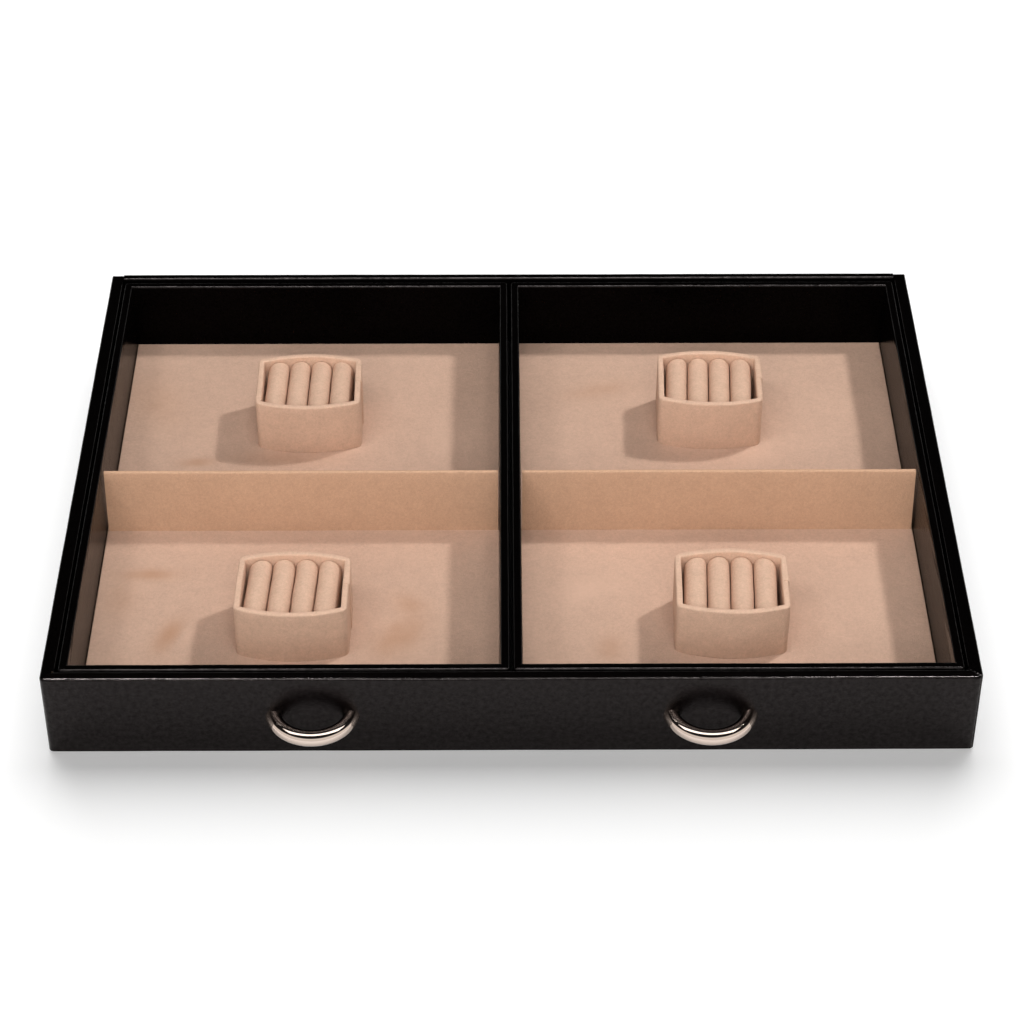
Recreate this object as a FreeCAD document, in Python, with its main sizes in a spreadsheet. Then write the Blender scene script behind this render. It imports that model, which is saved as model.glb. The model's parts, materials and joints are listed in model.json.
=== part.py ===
"""Leather drawer for cufflinks and rings: two lift-out trays, each with a transverse divider and
two loose suede holders, and two polished half-ring pulls on the front.

Frame: millimetres, +Z up, +X to the right as seen from the front, the front faces -Y. The origin
is the centre of the drawer's underside.
"""

import FreeCAD, Part
import math
import os

import Sketcher

Vector = FreeCAD.Vector

LEFT, RIGHT = -1, 1
SIDE_NAMES = {LEFT: "left", RIGHT: "right"}
FRONT, REAR = -1, 1
ROW_NAMES = {FRONT: "front", REAR: "rear"}
CUSHIONS_PER_HOLDER = 4

# Driving dimensions in millimetres and degrees: alias, value, meaning.
SIZES = (
    ("DrawerWidth", 400.0, "outside width of the drawer"),
    ("DrawerLength", 300.0, "outside length, front face to rear face"),
    ("DrawerHeight", 42.0, "underside to the rim of the side walls"),
    ("SideWall", 6.0, "finished thickness of a side wall"),
    ("FrontWall", 5.2, "finished thickness of the front"),
    ("RearWall", 4.0, "finished thickness of the rear wall"),
    ("RearStep", 0.5, "how far the rear wall stands above the side walls"),
    ("Leather", 0.8, "thickness of the leather"),
    ("RimRadius", 1.0, "rounding of the leather over a rim"),
    ("UndersideCloth", 0.5, "thickness of the cloth on the underside"),
    ("DrawerBase", 2.2, "thickness of the drawer's bottom board"),
    ("FloorLining", 0.5, "thickness of the lining under the trays"),
    ("TraySideGap", 1.1, "gap between a tray and the drawer's side wall"),
    ("TrayFrontGap", 0.7, "gap between a tray and the drawer's front"),
    ("TrayRearGap", 2.5, "gap between a tray and the drawer's rear wall"),
    ("TrayMiddleGap", 1.6, "gap between the two trays"),
    ("TrayWall", 4.0, "finished thickness of a tray wall"),
    ("TrayCorner", 1.6, "outside corner radius of a tray"),
    ("TrayBase", 1.8, "thickness of a tray's base board"),
    ("FloorPanel", 2.0, "thickness of a suede floor panel"),
    ("FloorGap", 0.8, "gap between a floor panel and the tray walls"),
    ("SuedeEdge", 0.5, "rounding of the suede over a board's edge"),
    ("FrontCompartment", 130.6, "front compartment, tray wall to the divider's foot"),
    ("DividerThickness", 2.0, "thickness of a divider"),
    ("DividerGap", 0.8, "gap between a divider's end and the tray wall"),
    ("DividerDrop", 3.0, "divider's top edge below the tray's rim"),
    ("DividerLean", 6.3, "backward lean of a divider in degrees"),
    ("DividerJoint", 0.3, "gap between a divider's foot and a floor panel"),
    ("HolderWidth", 50.2, "outside width of a holder"),
    ("HolderSide", 35.4, "length of a holder's straight sides"),
    ("HolderBulge", 4.5, "how far a holder's front and rear walls bulge"),
    ("HolderHeight", 27.0, "height of a holder"),
    ("HolderWall", 2.8, "thickness of a holder's wall"),
    ("HolderCorner", 3.5, "outside corner radius of a holder"),
    ("HolderSeam", 0.5, "how far the lapped end of the wall stands proud"),
    ("HolderRim", 0.6, "bevel of the suede over a holder's rim"),
    ("HolderBase", 1.5, "thickness of a holder's base"),
    ("HolderFit", 0.1, "clearance round a holder's base"),
    ("CushionEndRoom", 1.7, "room between the row of cushions and the holder's sides"),
    ("CushionSlit", 0.5, "slit between two cushions"),
    ("CushionDrop", 2.6, "cushion's top below the holder's rim"),
    ("CushionClearance", 0.3, "gap between a cushion's end and the holder's wall"),
    ("LeftFrontShiftX", -0.2, "where the loose holders stand, from their compartment's centre"),
    ("LeftFrontShiftY", -3.6, ""),
    ("LeftFrontTurn", -1.0, "and how far each one is turned"),
    ("LeftRearShiftX", -0.4, ""),
    ("LeftRearShiftY", 5.5, ""),
    ("LeftRearTurn", 0.4, ""),
    ("RightFrontShiftX", 1.6, ""),
    ("RightFrontShiftY", -2.5, ""),
    ("RightFrontTurn", -1.2, ""),
    ("RightRearShiftX", 0.5, ""),
    ("RightRearShiftY", 7.5, ""),
    ("RightRearTurn", -1.5, ""),
    ("PullSpacing", 171.0, "centre distance of the two pulls"),
    ("PullHeight", 20.2, "height of a pull's rod above the underside"),
    ("PullRadius", 17.15, "bend radius of the rod's centre line"),
    ("PullRod", 6.9, "diameter of the rod"),
    ("PullSetback", 3.9, "bend centre behind the drawer's face"),
    ("ScrewDiameter", 3.0, "pull screw"),
    ("ScrewHead", 5.6, "countersunk head's diameter"),
    ("ScrewBite", 4.5, "depth of the screw in the pull"),
    ("ScrewClearance", 0.1, "radial clearance round a screw"),
)

# Places that follow from the driving dimensions: alias, formula.
LAYOUT = (
    ("HalfWidth", "Sizes.DrawerWidth / 2"),
    ("HalfLength", "Sizes.DrawerLength / 2"),
    ("BoardTop", "Sizes.DrawerHeight - Sizes.Leather"),
    ("BaseTop", "Sizes.UndersideCloth + Sizes.DrawerBase"),
    ("TrayBottom", "BaseTop + Sizes.FloorLining"),
    ("SideInner", "HalfWidth - Sizes.SideWall"),
    ("FrontInner", "-HalfLength + Sizes.FrontWall"),
    ("RearInner", "HalfLength - Sizes.RearWall"),
    ("SideBoardIn", "SideInner + Sizes.Leather"),
    ("SideBoardOut", "HalfWidth - Sizes.Leather"),
    ("FrontBoardBack", "FrontInner - Sizes.Leather"),
    ("FrontBoardFace", "-HalfLength + Sizes.Leather"),
    ("RearBoardFront", "RearInner + Sizes.Leather"),
    ("RearBoardBack", "HalfLength - Sizes.Leather"),
    ("TrayWidth", "SideInner - Sizes.TraySideGap - Sizes.TrayMiddleGap / 2"),
    ("TrayFront", "FrontInner + Sizes.TrayFrontGap"),
    ("TrayLength", "RearInner - Sizes.TrayRearGap - TrayFront"),
    ("TrayHeight", "Sizes.DrawerHeight - TrayBottom"),
    ("TrayX", "(Sizes.TrayMiddleGap + TrayWidth) / 2"),
    ("TrayY", "TrayFront + TrayLength / 2"),
    ("TrayHalfX", "TrayWidth / 2"),
    ("TrayHalfY", "TrayLength / 2"),
    ("TrayBoardX", "TrayHalfX - Sizes.Leather"),
    ("TrayBoardY", "TrayHalfY - Sizes.Leather"),
    ("TrayInnerX", "TrayHalfX - Sizes.TrayWall"),
    ("TrayInnerY", "TrayHalfY - Sizes.TrayWall"),
    ("TrayBoardInX", "TrayInnerX + Sizes.Leather"),
    ("TrayBoardInY", "TrayInnerY + Sizes.Leather"),
    ("PanelTop", "Sizes.TrayBase + Sizes.FloorPanel"),
    ("FloorLevel", "TrayBottom + PanelTop"),
    ("PanelX", "TrayInnerX - Sizes.FloorGap"),
    ("PanelY", "TrayInnerY - Sizes.FloorGap"),
    ("DividerFoot", "-TrayInnerY + Sizes.FrontCompartment"),
    ("DividerBack", "DividerFoot + Sizes.DividerThickness"),
    ("DividerTop", "TrayHeight - Sizes.DividerDrop"),
    ("LeanRate", "tan(Sizes.DividerLean * 1deg)"),
    ("FrontCentre", "TrayY + (DividerFoot - TrayInnerY) / 2"),
    ("RearCentre", "TrayY + (DividerBack + TrayInnerY) / 2"),
    ("HolderHalf", "Sizes.HolderWidth / 2"),
    ("HolderSideHalf", "Sizes.HolderSide / 2"),
    ("HolderArc", "(HolderHalf ^ 2 + Sizes.HolderBulge ^ 2) / (2 * Sizes.HolderBulge)"),
    ("HolderArcCentre", "HolderArc - HolderSideHalf - Sizes.HolderBulge"),
    ("HolderInner", "HolderHalf - Sizes.HolderWall"),
    ("CushionRow", "2 * (HolderInner - Sizes.CushionEndRoom)"),
    ("CushionPitch", "(CushionRow + Sizes.CushionSlit) / %d" % CUSHIONS_PER_HOLDER),
    ("CushionWidth", "CushionPitch - Sizes.CushionSlit"),
    ("CushionTop", "Sizes.HolderHeight - Sizes.CushionDrop"),
    ("CushionRound", "CushionWidth * 0.49"),
    ("PullFoot", "sqrt(Sizes.PullRadius ^ 2 - Sizes.PullSetback ^ 2)"),
    ("ScrewHole", "Sizes.ScrewDiameter / 2 + Sizes.ScrewClearance"),
    ("HeadHole", "Sizes.ScrewHead / 2 + Sizes.ScrewClearance"),
    ("HeadDepth", "(Sizes.ScrewHead - Sizes.ScrewDiameter) / 2"),
)

doc = FreeCAD.newDocument("CufflinkDrawer")


# ---------------------------------------------------------------- spreadsheet and sketch helpers

def add_sheet(name, rows):
    """A sheet whose column A names each value and whose column B holds it under its alias."""
    sheet = doc.addObject("Spreadsheet::Sheet", name)
    for number, (alias, content) in enumerate(rows, start=1):
        sheet.set("A%d" % number, alias)
        sheet.set("B%d" % number, content)
        sheet.setAlias("B%d" % number, alias)
    doc.recompute()
    return sheet


sizes = add_sheet("Sizes", [(alias, str(value)) for alias, value, _ in SIZES])
layout = add_sheet("Layout", [(alias, "=" + formula) for alias, formula in LAYOUT])


def value(expression):
    """The number that an expression over the two sheets gives now."""
    return float(sizes.evalExpression(expression))


def bind(target, **expressions):
    """Binds properties such as Length or Radius of a feature to expressions."""
    for name, expression in expressions.items():
        target.setExpression(name, expression)


def place(target, x, y, z, turn=None):
    """Binds the placement of a sub-part, and its turn about Z in degrees."""
    if turn is not None:
        target.Placement = FreeCAD.Placement(Vector(), FreeCAD.Rotation(Vector(0, 0, 1), value(turn)))
        target.setExpression("Placement.Rotation.Angle", turn)
    for axis, expression in zip("xyz", (x, y, z)):
        target.setExpression("Placement.Base." + axis, expression)


def block(name, low, high):
    """A Part::Box between two corners, each given as three expressions."""
    box = doc.addObject("Part::Box", name)
    lengths = ["(%s) - (%s)" % (end, start) for start, end in zip(low, high)]
    bind(box, Length=lengths[0], Width=lengths[1], Height=lengths[2])
    place(box, *low)
    return box


def new_body(name):
    return doc.addObject("PartDesign::Body", name)


def sketch_on(body, role, name):
    """A sketch on one of the body's own origin planes: XY_Plane, XZ_Plane or YZ_Plane."""
    sketch = body.newObject("Sketcher::SketchObject", body.Name + "_" + name)
    plane = [item for item in body.Origin.OriginFeatures if item.Role == role][0]
    sketch.AttachmentSupport = [(plane, "")]
    sketch.MapMode = "FlatFace"
    return sketch


def fix_point(sketch, edge, x, y):
    """Holds the start point of an edge at x, y by two bound dimensions."""
    for kind, expression in (("DistanceX", x), ("DistanceY", y)):
        number = sketch.addConstraint(Sketcher.Constraint(kind, -1, 1, edge, 1, value(expression)))
        sketch.setExpression("Constraints[%d]" % number, expression)


def arc_between(start, end, radius):
    """The short arc from start to end that turns to the left, as an outline's outward bulge does."""
    chord = end - start
    rise = math.sqrt(radius ** 2 - chord.Length ** 2 / 4)
    centre = (start + end) * 0.5 + Vector(-chord.y, chord.x, 0) * (rise / chord.Length)
    first = math.atan2(start.y - centre.y, start.x - centre.x)
    last = math.atan2(end.y - centre.y, end.x - centre.x)
    return Part.ArcOfCircle(Part.Circle(centre, Vector(0, 0, 1), radius), first, last)


def outline(sketch, corners):
    """A closed anticlockwise outline. Each corner is (x, y) or (x, y, radius of the next edge)."""
    points = [Vector(value(corner[0]), value(corner[1]), 0) for corner in corners]
    edges = []
    for index, corner in enumerate(corners):
        start, end = points[index], points[(index + 1) % len(points)]
        curved = len(corner) == 3
        shape = arc_between(start, end, value(corner[2])) if curved else Part.LineSegment(start, end)
        edges.append(sketch.addGeometry(shape, False))
    for index, corner in enumerate(corners):
        following = edges[(index + 1) % len(edges)]
        sketch.addConstraint(Sketcher.Constraint("Coincident", edges[index], 2, following, 1))
        fix_point(sketch, edges[index], corner[0], corner[1])
        if len(corner) == 3:
            radius = Sketcher.Constraint("Radius", edges[index], value(corner[2]))
            sketch.setExpression("Constraints[%d]" % sketch.addConstraint(radius), corner[2])


def rectangle(sketch, low_x, low_y, high_x, high_y):
    outline(sketch, [(low_x, low_y), (high_x, low_y), (high_x, high_y), (low_x, high_y)])


def centred_rectangle(sketch, half_x, half_y):
    rectangle(sketch, "-(%s)" % half_x, "-(%s)" % half_y, half_x, half_y)


def circle(sketch, x, y, radius):
    centre = Vector(value(x), value(y), 0)
    edge = sketch.addGeometry(Part.Circle(centre, Vector(0, 0, 1), value(radius)), False)
    for kind, expression in (("DistanceX", x), ("DistanceY", y)):
        number = sketch.addConstraint(Sketcher.Constraint(kind, -1, 1, edge, 3, value(expression)))
        sketch.setExpression("Constraints[%d]" % number, expression)
    number = sketch.addConstraint(Sketcher.Constraint("Radius", edge, value(radius)))
    sketch.setExpression("Constraints[%d]" % number, radius)


def pad(body, sketch, length, symmetric=False):
    feature = body.newObject("PartDesign::Pad", sketch.Name + "_pad")
    feature.Profile = sketch
    bind(feature, Length=length)
    if symmetric:
        feature.SideType = "Symmetric"
    doc.recompute()


def pocket(body, sketch, depth):
    """Cuts from the sketch along its plane's normal, and stops if that cuts nothing."""
    before = body.Shape.Volume
    feature = body.newObject("PartDesign::Pocket", sketch.Name + "_pocket")
    feature.Profile = sketch
    bind(feature, Length=depth)
    feature.Reversed = True
    doc.recompute()
    if not body.Shape.Volume < before:
        raise RuntimeError(sketch.Name + " cuts nothing")


def dress_edges(kind, body, name, wanted):
    """A PartDesign fillet or chamfer on the edges of the body's tip for which wanted(edge) is true."""
    tip = body.Tip
    chosen = ["Edge%d" % (index + 1) for index, edge in enumerate(tip.Shape.Edges) if wanted(edge)]
    if not chosen:
        raise RuntimeError(body.Name + " has no edge for " + name)
    feature = body.newObject("PartDesign::" + kind, body.Name + "_" + name)
    feature.Base = (tip, chosen)
    return feature


def round_edges(body, name, radius, wanted):
    bind(dress_edges("Fillet", body, name, wanted), Radius=radius)
    doc.recompute()


def bevel_edges(body, name, size, wanted):
    bind(dress_edges("Chamfer", body, name, wanted), Size=size)
    doc.recompute()


def is_vertical(edge):
    ends = [vertex.Point for vertex in edge.Vertexes]
    return len(ends) == 2 and abs(ends[0].x - ends[1].x) + abs(ends[0].y - ends[1].y) < 1e-6


def at_height(level):
    """A test for edges that lie wholly at one height of the body's own frame."""
    return lambda edge: abs(edge.BoundBox.ZMin - level) + abs(edge.BoundBox.ZMax - level) < 1e-6


# ---------------------------------------------------------------- drawer

def drawer_boards():
    """The five boards of the carcass. The front board runs the full width, before the side boards."""
    bottom, top = "Sizes.UndersideCloth", "Layout.BoardTop"
    for side in (LEFT, RIGHT):
        near, far = sorted(("%d * Layout.SideBoardIn" % side, "%d * Layout.SideBoardOut" % side), key=value)
        block("drawer_%s_board" % SIDE_NAMES[side],
              (near, "Layout.FrontInner", bottom), (far, "Layout.RearBoardBack", top))
    block("drawer_rear_board",
          ("-Layout.SideInner + Sizes.Leather", "Layout.RearBoardFront", bottom),
          ("Layout.SideInner - Sizes.Leather", "Layout.RearBoardBack", top + " + Sizes.RearStep"))
    block("drawer_base_board",
          ("-Layout.SideBoardIn", "Layout.FrontBoardBack", bottom),
          ("Layout.SideBoardIn", "Layout.RearBoardFront", "Layout.BaseTop"))
    block("drawer_floor_lining",
          ("-Layout.SideInner", "Layout.FrontInner", "Layout.BaseTop"),
          ("Layout.SideInner", "Layout.RearInner", "Layout.TrayBottom"))
    block("drawer_underside_cloth",
          ("-Layout.SideBoardOut", "Layout.FrontBoardFace", "0"),
          ("Layout.SideBoardOut", "Layout.RearBoardBack", bottom))


def screw_places():
    """The x positions of the four pull screws, as expressions."""
    return ["%d * Sizes.PullSpacing / 2 %s Layout.PullFoot" % (side, sign)
            for side in (LEFT, RIGHT) for sign in "-+"]


def drawer_front_board():
    """The front board with four countersunk screw holes for the pulls."""
    body = new_body("drawer_front_board")
    profile = sketch_on(body, "XY_Plane", "plan")
    rectangle(profile, "-Layout.SideBoardOut", "Layout.FrontBoardFace",
              "Layout.SideBoardOut", "Layout.FrontBoardBack")
    pad(body, profile, "Layout.BoardTop - Sizes.UndersideCloth")
    holes = sketch_on(body, "XZ_Plane", "holes")
    for x in screw_places():
        circle(holes, x, "Sizes.PullHeight - Sizes.UndersideCloth", "Layout.ScrewHole")
    pocket(body, holes, "Sizes.DrawerLength")
    back = value("Layout.FrontBoardBack")
    bevel_edges(body, "countersinks", "Layout.HeadDepth",
                lambda edge: edge.Closed and abs(edge.BoundBox.YMin - back) < 1e-6)
    place(body, "0", "0", "Sizes.UndersideCloth")


def wall_leather(name, low, high, height, board_low, board_high, strip_low, strip_high, rims):
    """Leather that covers a wall's outside, rim and inside: a block with the board's room cut out
    from below. The strip is the inside leather's foot, which stops above the base board."""
    body = new_body(name)
    plan = sketch_on(body, "XY_Plane", "plan")
    rectangle(plan, *low, *high)
    pad(body, plan, height)
    top = at_height(value(height))
    round_edges(body, "rim", "Sizes.RimRadius", lambda edge: top(edge) and rims(edge))
    room = sketch_on(body, "XY_Plane", "board_room")
    rectangle(room, *board_low, *board_high)
    pocket(body, room, height + " - Sizes.Leather")
    foot = sketch_on(body, "XY_Plane", "inside_foot")
    rectangle(foot, *strip_low, *strip_high)
    pocket(body, foot, "Layout.BaseTop")
    return body


def runs_along_x(edge):
    return edge.BoundBox.XLength > 1 and edge.BoundBox.YLength < 1e-6


def runs_along_y(edge):
    return edge.BoundBox.YLength > 1 and edge.BoundBox.XLength < 1e-6


def drawer_front_leather():
    """The front's leather, mitred at both ends, with the screw holes of the pulls."""
    body = wall_leather(
        "drawer_front_leather",
        ("-Layout.HalfWidth", "-Layout.HalfLength"), ("Layout.HalfWidth", "Layout.FrontInner"),
        "Sizes.DrawerHeight",
        ("-Layout.HalfWidth", "Layout.FrontBoardFace"), ("Layout.HalfWidth", "Layout.FrontBoardBack"),
        ("-Layout.HalfWidth", "Layout.FrontBoardBack"), ("Layout.HalfWidth", "Layout.FrontInner"),
        runs_along_x)
    mitres = sketch_on(body, "XY_Plane", "mitres")
    outline(mitres, [("-Layout.HalfWidth", "-Layout.HalfLength"),
                     ("-Layout.HalfWidth + Sizes.FrontWall", "Layout.FrontInner"),
                     ("-Layout.HalfWidth", "Layout.FrontInner")])
    outline(mitres, [("Layout.HalfWidth", "-Layout.HalfLength"),
                     ("Layout.HalfWidth", "Layout.FrontInner"),
                     ("Layout.HalfWidth - Sizes.FrontWall", "Layout.FrontInner")])
    pocket(body, mitres, "Sizes.DrawerHeight")
    holes = sketch_on(body, "XZ_Plane", "screw_holes")
    heads = sketch_on(body, "XZ_Plane", "head_holes")
    heads.setExpression("AttachmentOffset.Base.z", "-Layout.FrontInner")
    for x in screw_places():
        circle(holes, x, "Sizes.PullHeight", "Layout.ScrewHole")
        circle(heads, x, "Sizes.PullHeight", "Layout.HeadHole")
    pocket(body, holes, "Sizes.DrawerLength")
    pocket(body, heads, "Sizes.FrontWall / 2")


def drawer_side_leather(side):
    """A side wall's leather. It laps the side board's rear end and meets the front at a mitre."""
    inner, outer = "%d * Layout.SideInner" % side, "%d * Layout.HalfWidth" % side
    board_inner, board_outer = "%d * Layout.SideBoardIn" % side, "%d * Layout.SideBoardOut" % side
    low, high = sorted((inner, outer), key=value)
    board_low, board_high = sorted((board_inner, board_outer), key=value)
    strip_low, strip_high = sorted((inner, board_inner), key=value)
    body = wall_leather(
        "drawer_%s_leather" % SIDE_NAMES[side],
        (low, "-Layout.HalfLength"), (high, "Layout.HalfLength"), "Sizes.DrawerHeight",
        (board_low, "Layout.FrontBoardFace"), (board_high, "Layout.RearBoardBack"),
        (strip_low, "-Layout.HalfLength"), (strip_high, "Layout.RearBoardFront"),
        runs_along_y)
    mitre = sketch_on(body, "XY_Plane", "mitre")
    front_corner = (outer, "-Layout.HalfLength")
    mitre_end = ("%d * (Layout.HalfWidth - Sizes.FrontWall)" % side, "Layout.FrontInner")
    corners = [front_corner, mitre_end, (inner, "Layout.FrontInner"), (inner, "-Layout.HalfLength")]
    outline(mitre, corners if side == RIGHT else corners[::-1])
    pocket(body, mitre, "Sizes.DrawerHeight")


def drawer_rear_leather():
    """The rear wall's leather. This wall stands between the side walls, a little above them."""
    body = wall_leather(
        "drawer_rear_leather",
        ("-Layout.SideInner", "Layout.RearInner"), ("Layout.SideInner", "Layout.HalfLength"),
        "Sizes.DrawerHeight + Sizes.RearStep",
        ("-Layout.SideInner + Sizes.Leather", "Layout.RearBoardFront"),
        ("Layout.SideInner - Sizes.Leather", "Layout.RearBoardBack"),
        ("-Layout.SideInner", "Layout.RearInner"), ("Layout.SideInner", "Layout.RearBoardFront"),
        runs_along_x)
    hem = sketch_on(body, "XY_Plane", "cloth_room")
    rectangle(hem, "-Layout.SideInner", "Layout.RearInner", "Layout.SideInner", "Layout.RearBoardBack")
    pocket(body, hem, "Sizes.UndersideCloth")


# ---------------------------------------------------------------- pulls

def pull(side):
    """A solid half ring of round rod. Its bend centre lies behind the face that cuts its ends off,
    and each end has a blind hole for a screw."""
    name = SIDE_NAMES[side] + "_pull"
    ring = doc.addObject("Part::Torus", name + "_ring")
    bind(ring, Radius1="Sizes.PullRadius", Radius2="Sizes.PullRod / 2")
    place(ring, "0", "Sizes.PullSetback", "0")
    reach = "(Sizes.PullRadius + Sizes.PullRod)"
    behind = block(name + "_behind_face", ("-" + reach, "0", "-Sizes.PullRod"),
                   (reach, "2 * " + reach, "Sizes.PullRod"))
    tools = [behind]
    for end in (LEFT, RIGHT):
        hole = doc.addObject("Part::Cylinder", "%s_%s_hole" % (name, SIDE_NAMES[end]))
        bind(hole, Radius="Layout.ScrewHole", Height="Sizes.ScrewBite + Sizes.ScrewClearance")
        hole.Placement.Rotation = FreeCAD.Rotation(Vector(1, 0, 0), 90)
        place(hole, "%d * Layout.PullFoot" % end, "0", "0")
        tools.append(hole)
    cutter = doc.addObject("Part::MultiFuse", name + "_cutter")
    cutter.Shapes = tools
    result = doc.addObject("Part::Cut", name)
    result.Base = ring
    result.Tool = cutter
    place(result, "%d * Sizes.PullSpacing / 2" % side, "-Layout.HalfLength", "Sizes.PullHeight")
    return result


def front_pulls():
    """The two equal pulls."""
    group = doc.addObject("Part::Compound", "front_pulls")
    group.Links = [pull(side) for side in (LEFT, RIGHT)]


def pull_screws():
    """Four equal countersunk screws. Each head sits in the front board's inner face."""
    screws = []
    for number, x in enumerate(screw_places(), start=1):
        shank = doc.addObject("Part::Cylinder", "screw_%d_shank" % number)
        bind(shank, Radius="Sizes.ScrewDiameter / 2",
             Height="Layout.FrontBoardBack + Layout.HalfLength + Sizes.ScrewBite")
        head = doc.addObject("Part::Cone", "screw_%d_head" % number)
        bind(head, Radius1="Sizes.ScrewHead / 2", Radius2="Sizes.ScrewDiameter / 2",
             Height="Layout.HeadDepth")
        screw = doc.addObject("Part::MultiFuse", "screw_%d" % number)
        screw.Shapes = [shank, head]
        screw.Placement.Rotation = FreeCAD.Rotation(Vector(1, 0, 0), 90)
        place(screw, x, "Layout.FrontBoardBack", "Sizes.PullHeight")
        screws.append(screw)
    group = doc.addObject("Part::Compound", "pull_screws")
    group.Links = screws


# ---------------------------------------------------------------- trays

def tray_block(name, side, low, high):
    """A block given in its tray's own frame, whose origin is the centre of the tray's underside."""
    shift = ("%d * Layout.TrayX" % side, "Layout.TrayY", "Layout.TrayBottom")
    return block(name, ["%s + (%s)" % pair for pair in zip(shift, low)],
                 ["%s + (%s)" % pair for pair in zip(shift, high)])


def tray_boards(side):
    """Four wall boards and a base board. The front and rear boards run the full width."""
    tray = "tray_" + SIDE_NAMES[side]
    top = "Layout.TrayHeight - Sizes.Leather"
    for row in (FRONT, REAR):
        near, far = sorted(("%d * Layout.TrayBoardInY" % row, "%d * Layout.TrayBoardY" % row), key=value)
        tray_block("%s_%s_wall" % (tray, ROW_NAMES[row]), side,
                   ("-Layout.TrayBoardX", near, "0"), ("Layout.TrayBoardX", far, top))
    for hand, position in ((side, "outer"), (-side, "middle")):
        near, far = sorted(("%d * Layout.TrayBoardInX" % hand, "%d * Layout.TrayBoardX" % hand), key=value)
        tray_block("%s_%s_wall" % (tray, position), side,
                   (near, "-Layout.TrayBoardInY", "0"), (far, "Layout.TrayBoardInY", top))
    tray_block(tray + "_base", side,
               ("-Layout.TrayBoardInX", "-Layout.TrayBoardInY", "0"),
               ("Layout.TrayBoardInX", "Layout.TrayBoardInY", "Sizes.TrayBase"))


def tray_leather(side):
    """One leather skin over the outside, rim and inside of a tray's four walls."""
    body = new_body("tray_%s_leather" % SIDE_NAMES[side])
    plan = sketch_on(body, "XY_Plane", "plan")
    centred_rectangle(plan, "Layout.TrayHalfX", "Layout.TrayHalfY")
    pad(body, plan, "Layout.TrayHeight")
    round_edges(body, "corners", "Sizes.TrayCorner", is_vertical)
    inside = sketch_on(body, "XY_Plane", "inside")
    centred_rectangle(inside, "Layout.TrayInnerX", "Layout.TrayInnerY")
    pocket(body, inside, "Layout.TrayHeight")
    round_edges(body, "rim", "Sizes.RimRadius", at_height(value("Layout.TrayHeight")))
    room = sketch_on(body, "XY_Plane", "board_room")
    centred_rectangle(room, "Layout.TrayBoardX", "Layout.TrayBoardY")
    centred_rectangle(room, "Layout.TrayBoardInX", "Layout.TrayBoardInY")
    pocket(body, room, "Layout.TrayHeight - Sizes.Leather")
    foot = sketch_on(body, "XY_Plane", "base_room")
    centred_rectangle(foot, "Layout.TrayBoardInX", "Layout.TrayBoardInY")
    pocket(body, foot, "Sizes.TrayBase")
    place(body, "%d * Layout.TrayX" % side, "Layout.TrayY", "Layout.TrayBottom")


def floor_panel(side, row):
    """A suede-covered floor board, before or behind the divider."""
    body = new_body("tray_%s_%s_floor" % (SIDE_NAMES[side], ROW_NAMES[row]))
    plan = sketch_on(body, "XY_Plane", "plan")
    if row == FRONT:
        ends = ("-Layout.PanelY", "Layout.DividerFoot - Sizes.DividerJoint")
    else:
        ends = ("Layout.DividerBack + Sizes.DividerJoint", "Layout.PanelY")
    rectangle(plan, "-Layout.PanelX", ends[0], "Layout.PanelX", ends[1])
    pad(body, plan, "Sizes.FloorPanel")
    round_edges(body, "edges", "Sizes.SuedeEdge", at_height(value("Sizes.FloorPanel")))
    place(body, "%d * Layout.TrayX" % side, "Layout.TrayY", "Layout.TrayBottom + Sizes.TrayBase")


def divider(side):
    """A suede-covered board across the tray. It stands on the base and leans back a little."""
    body = new_body("tray_%s_divider" % SIDE_NAMES[side])
    section = sketch_on(body, "YZ_Plane", "section")
    foot_shift = "(Sizes.TrayBase - Layout.PanelTop) * Layout.LeanRate"
    top_shift = "(Layout.DividerTop - Layout.PanelTop) * Layout.LeanRate"
    outline(section, [("Layout.DividerFoot + " + foot_shift, "Sizes.TrayBase"),
                      ("Layout.DividerBack + " + foot_shift, "Sizes.TrayBase"),
                      ("Layout.DividerBack + " + top_shift, "Layout.DividerTop"),
                      ("Layout.DividerFoot + " + top_shift, "Layout.DividerTop")])
    pad(body, section, "2 * (Layout.TrayInnerX - Sizes.DividerGap)", symmetric=True)
    top = at_height(value("Layout.DividerTop"))
    round_edges(body, "top", "Sizes.SuedeEdge", lambda edge: top(edge) and runs_along_x(edge))
    place(body, "%d * Layout.TrayX" % side, "Layout.TrayY", "Layout.TrayBottom")


# ---------------------------------------------------------------- holders

def arc_reach(x, radius):
    """How far behind the holder's centre its rear arc of that radius lies at x."""
    return "(sqrt((%s) ^ 2 - (%s) ^ 2) - Layout.HolderArcCentre)" % (radius, x)


def bulged_plan(sketch, low_x, high_x, radius):
    """A plan between two x values whose front and rear edges follow the holder's arcs."""
    outline(sketch, [(low_x, "-" + arc_reach(low_x, radius), radius),
                     (high_x, "-" + arc_reach(high_x, radius)),
                     (high_x, arc_reach(high_x, radius), radius),
                     (low_x, arc_reach(low_x, radius))])


def place_holder_part(body, side, row, height):
    """Stands a piece of a holder in its compartment."""
    spot = SIDE_NAMES[side].title() + ROW_NAMES[row].title()
    centre = "Layout.FrontCentre" if row == FRONT else "Layout.RearCentre"
    place(body, "%d * Layout.TrayX + Sizes.%sShiftX" % (side, spot), "%s + Sizes.%sShiftY" % (centre, spot),
          "Layout.FloorLevel + " + height, "Sizes.%sTurn" % spot)


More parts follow.
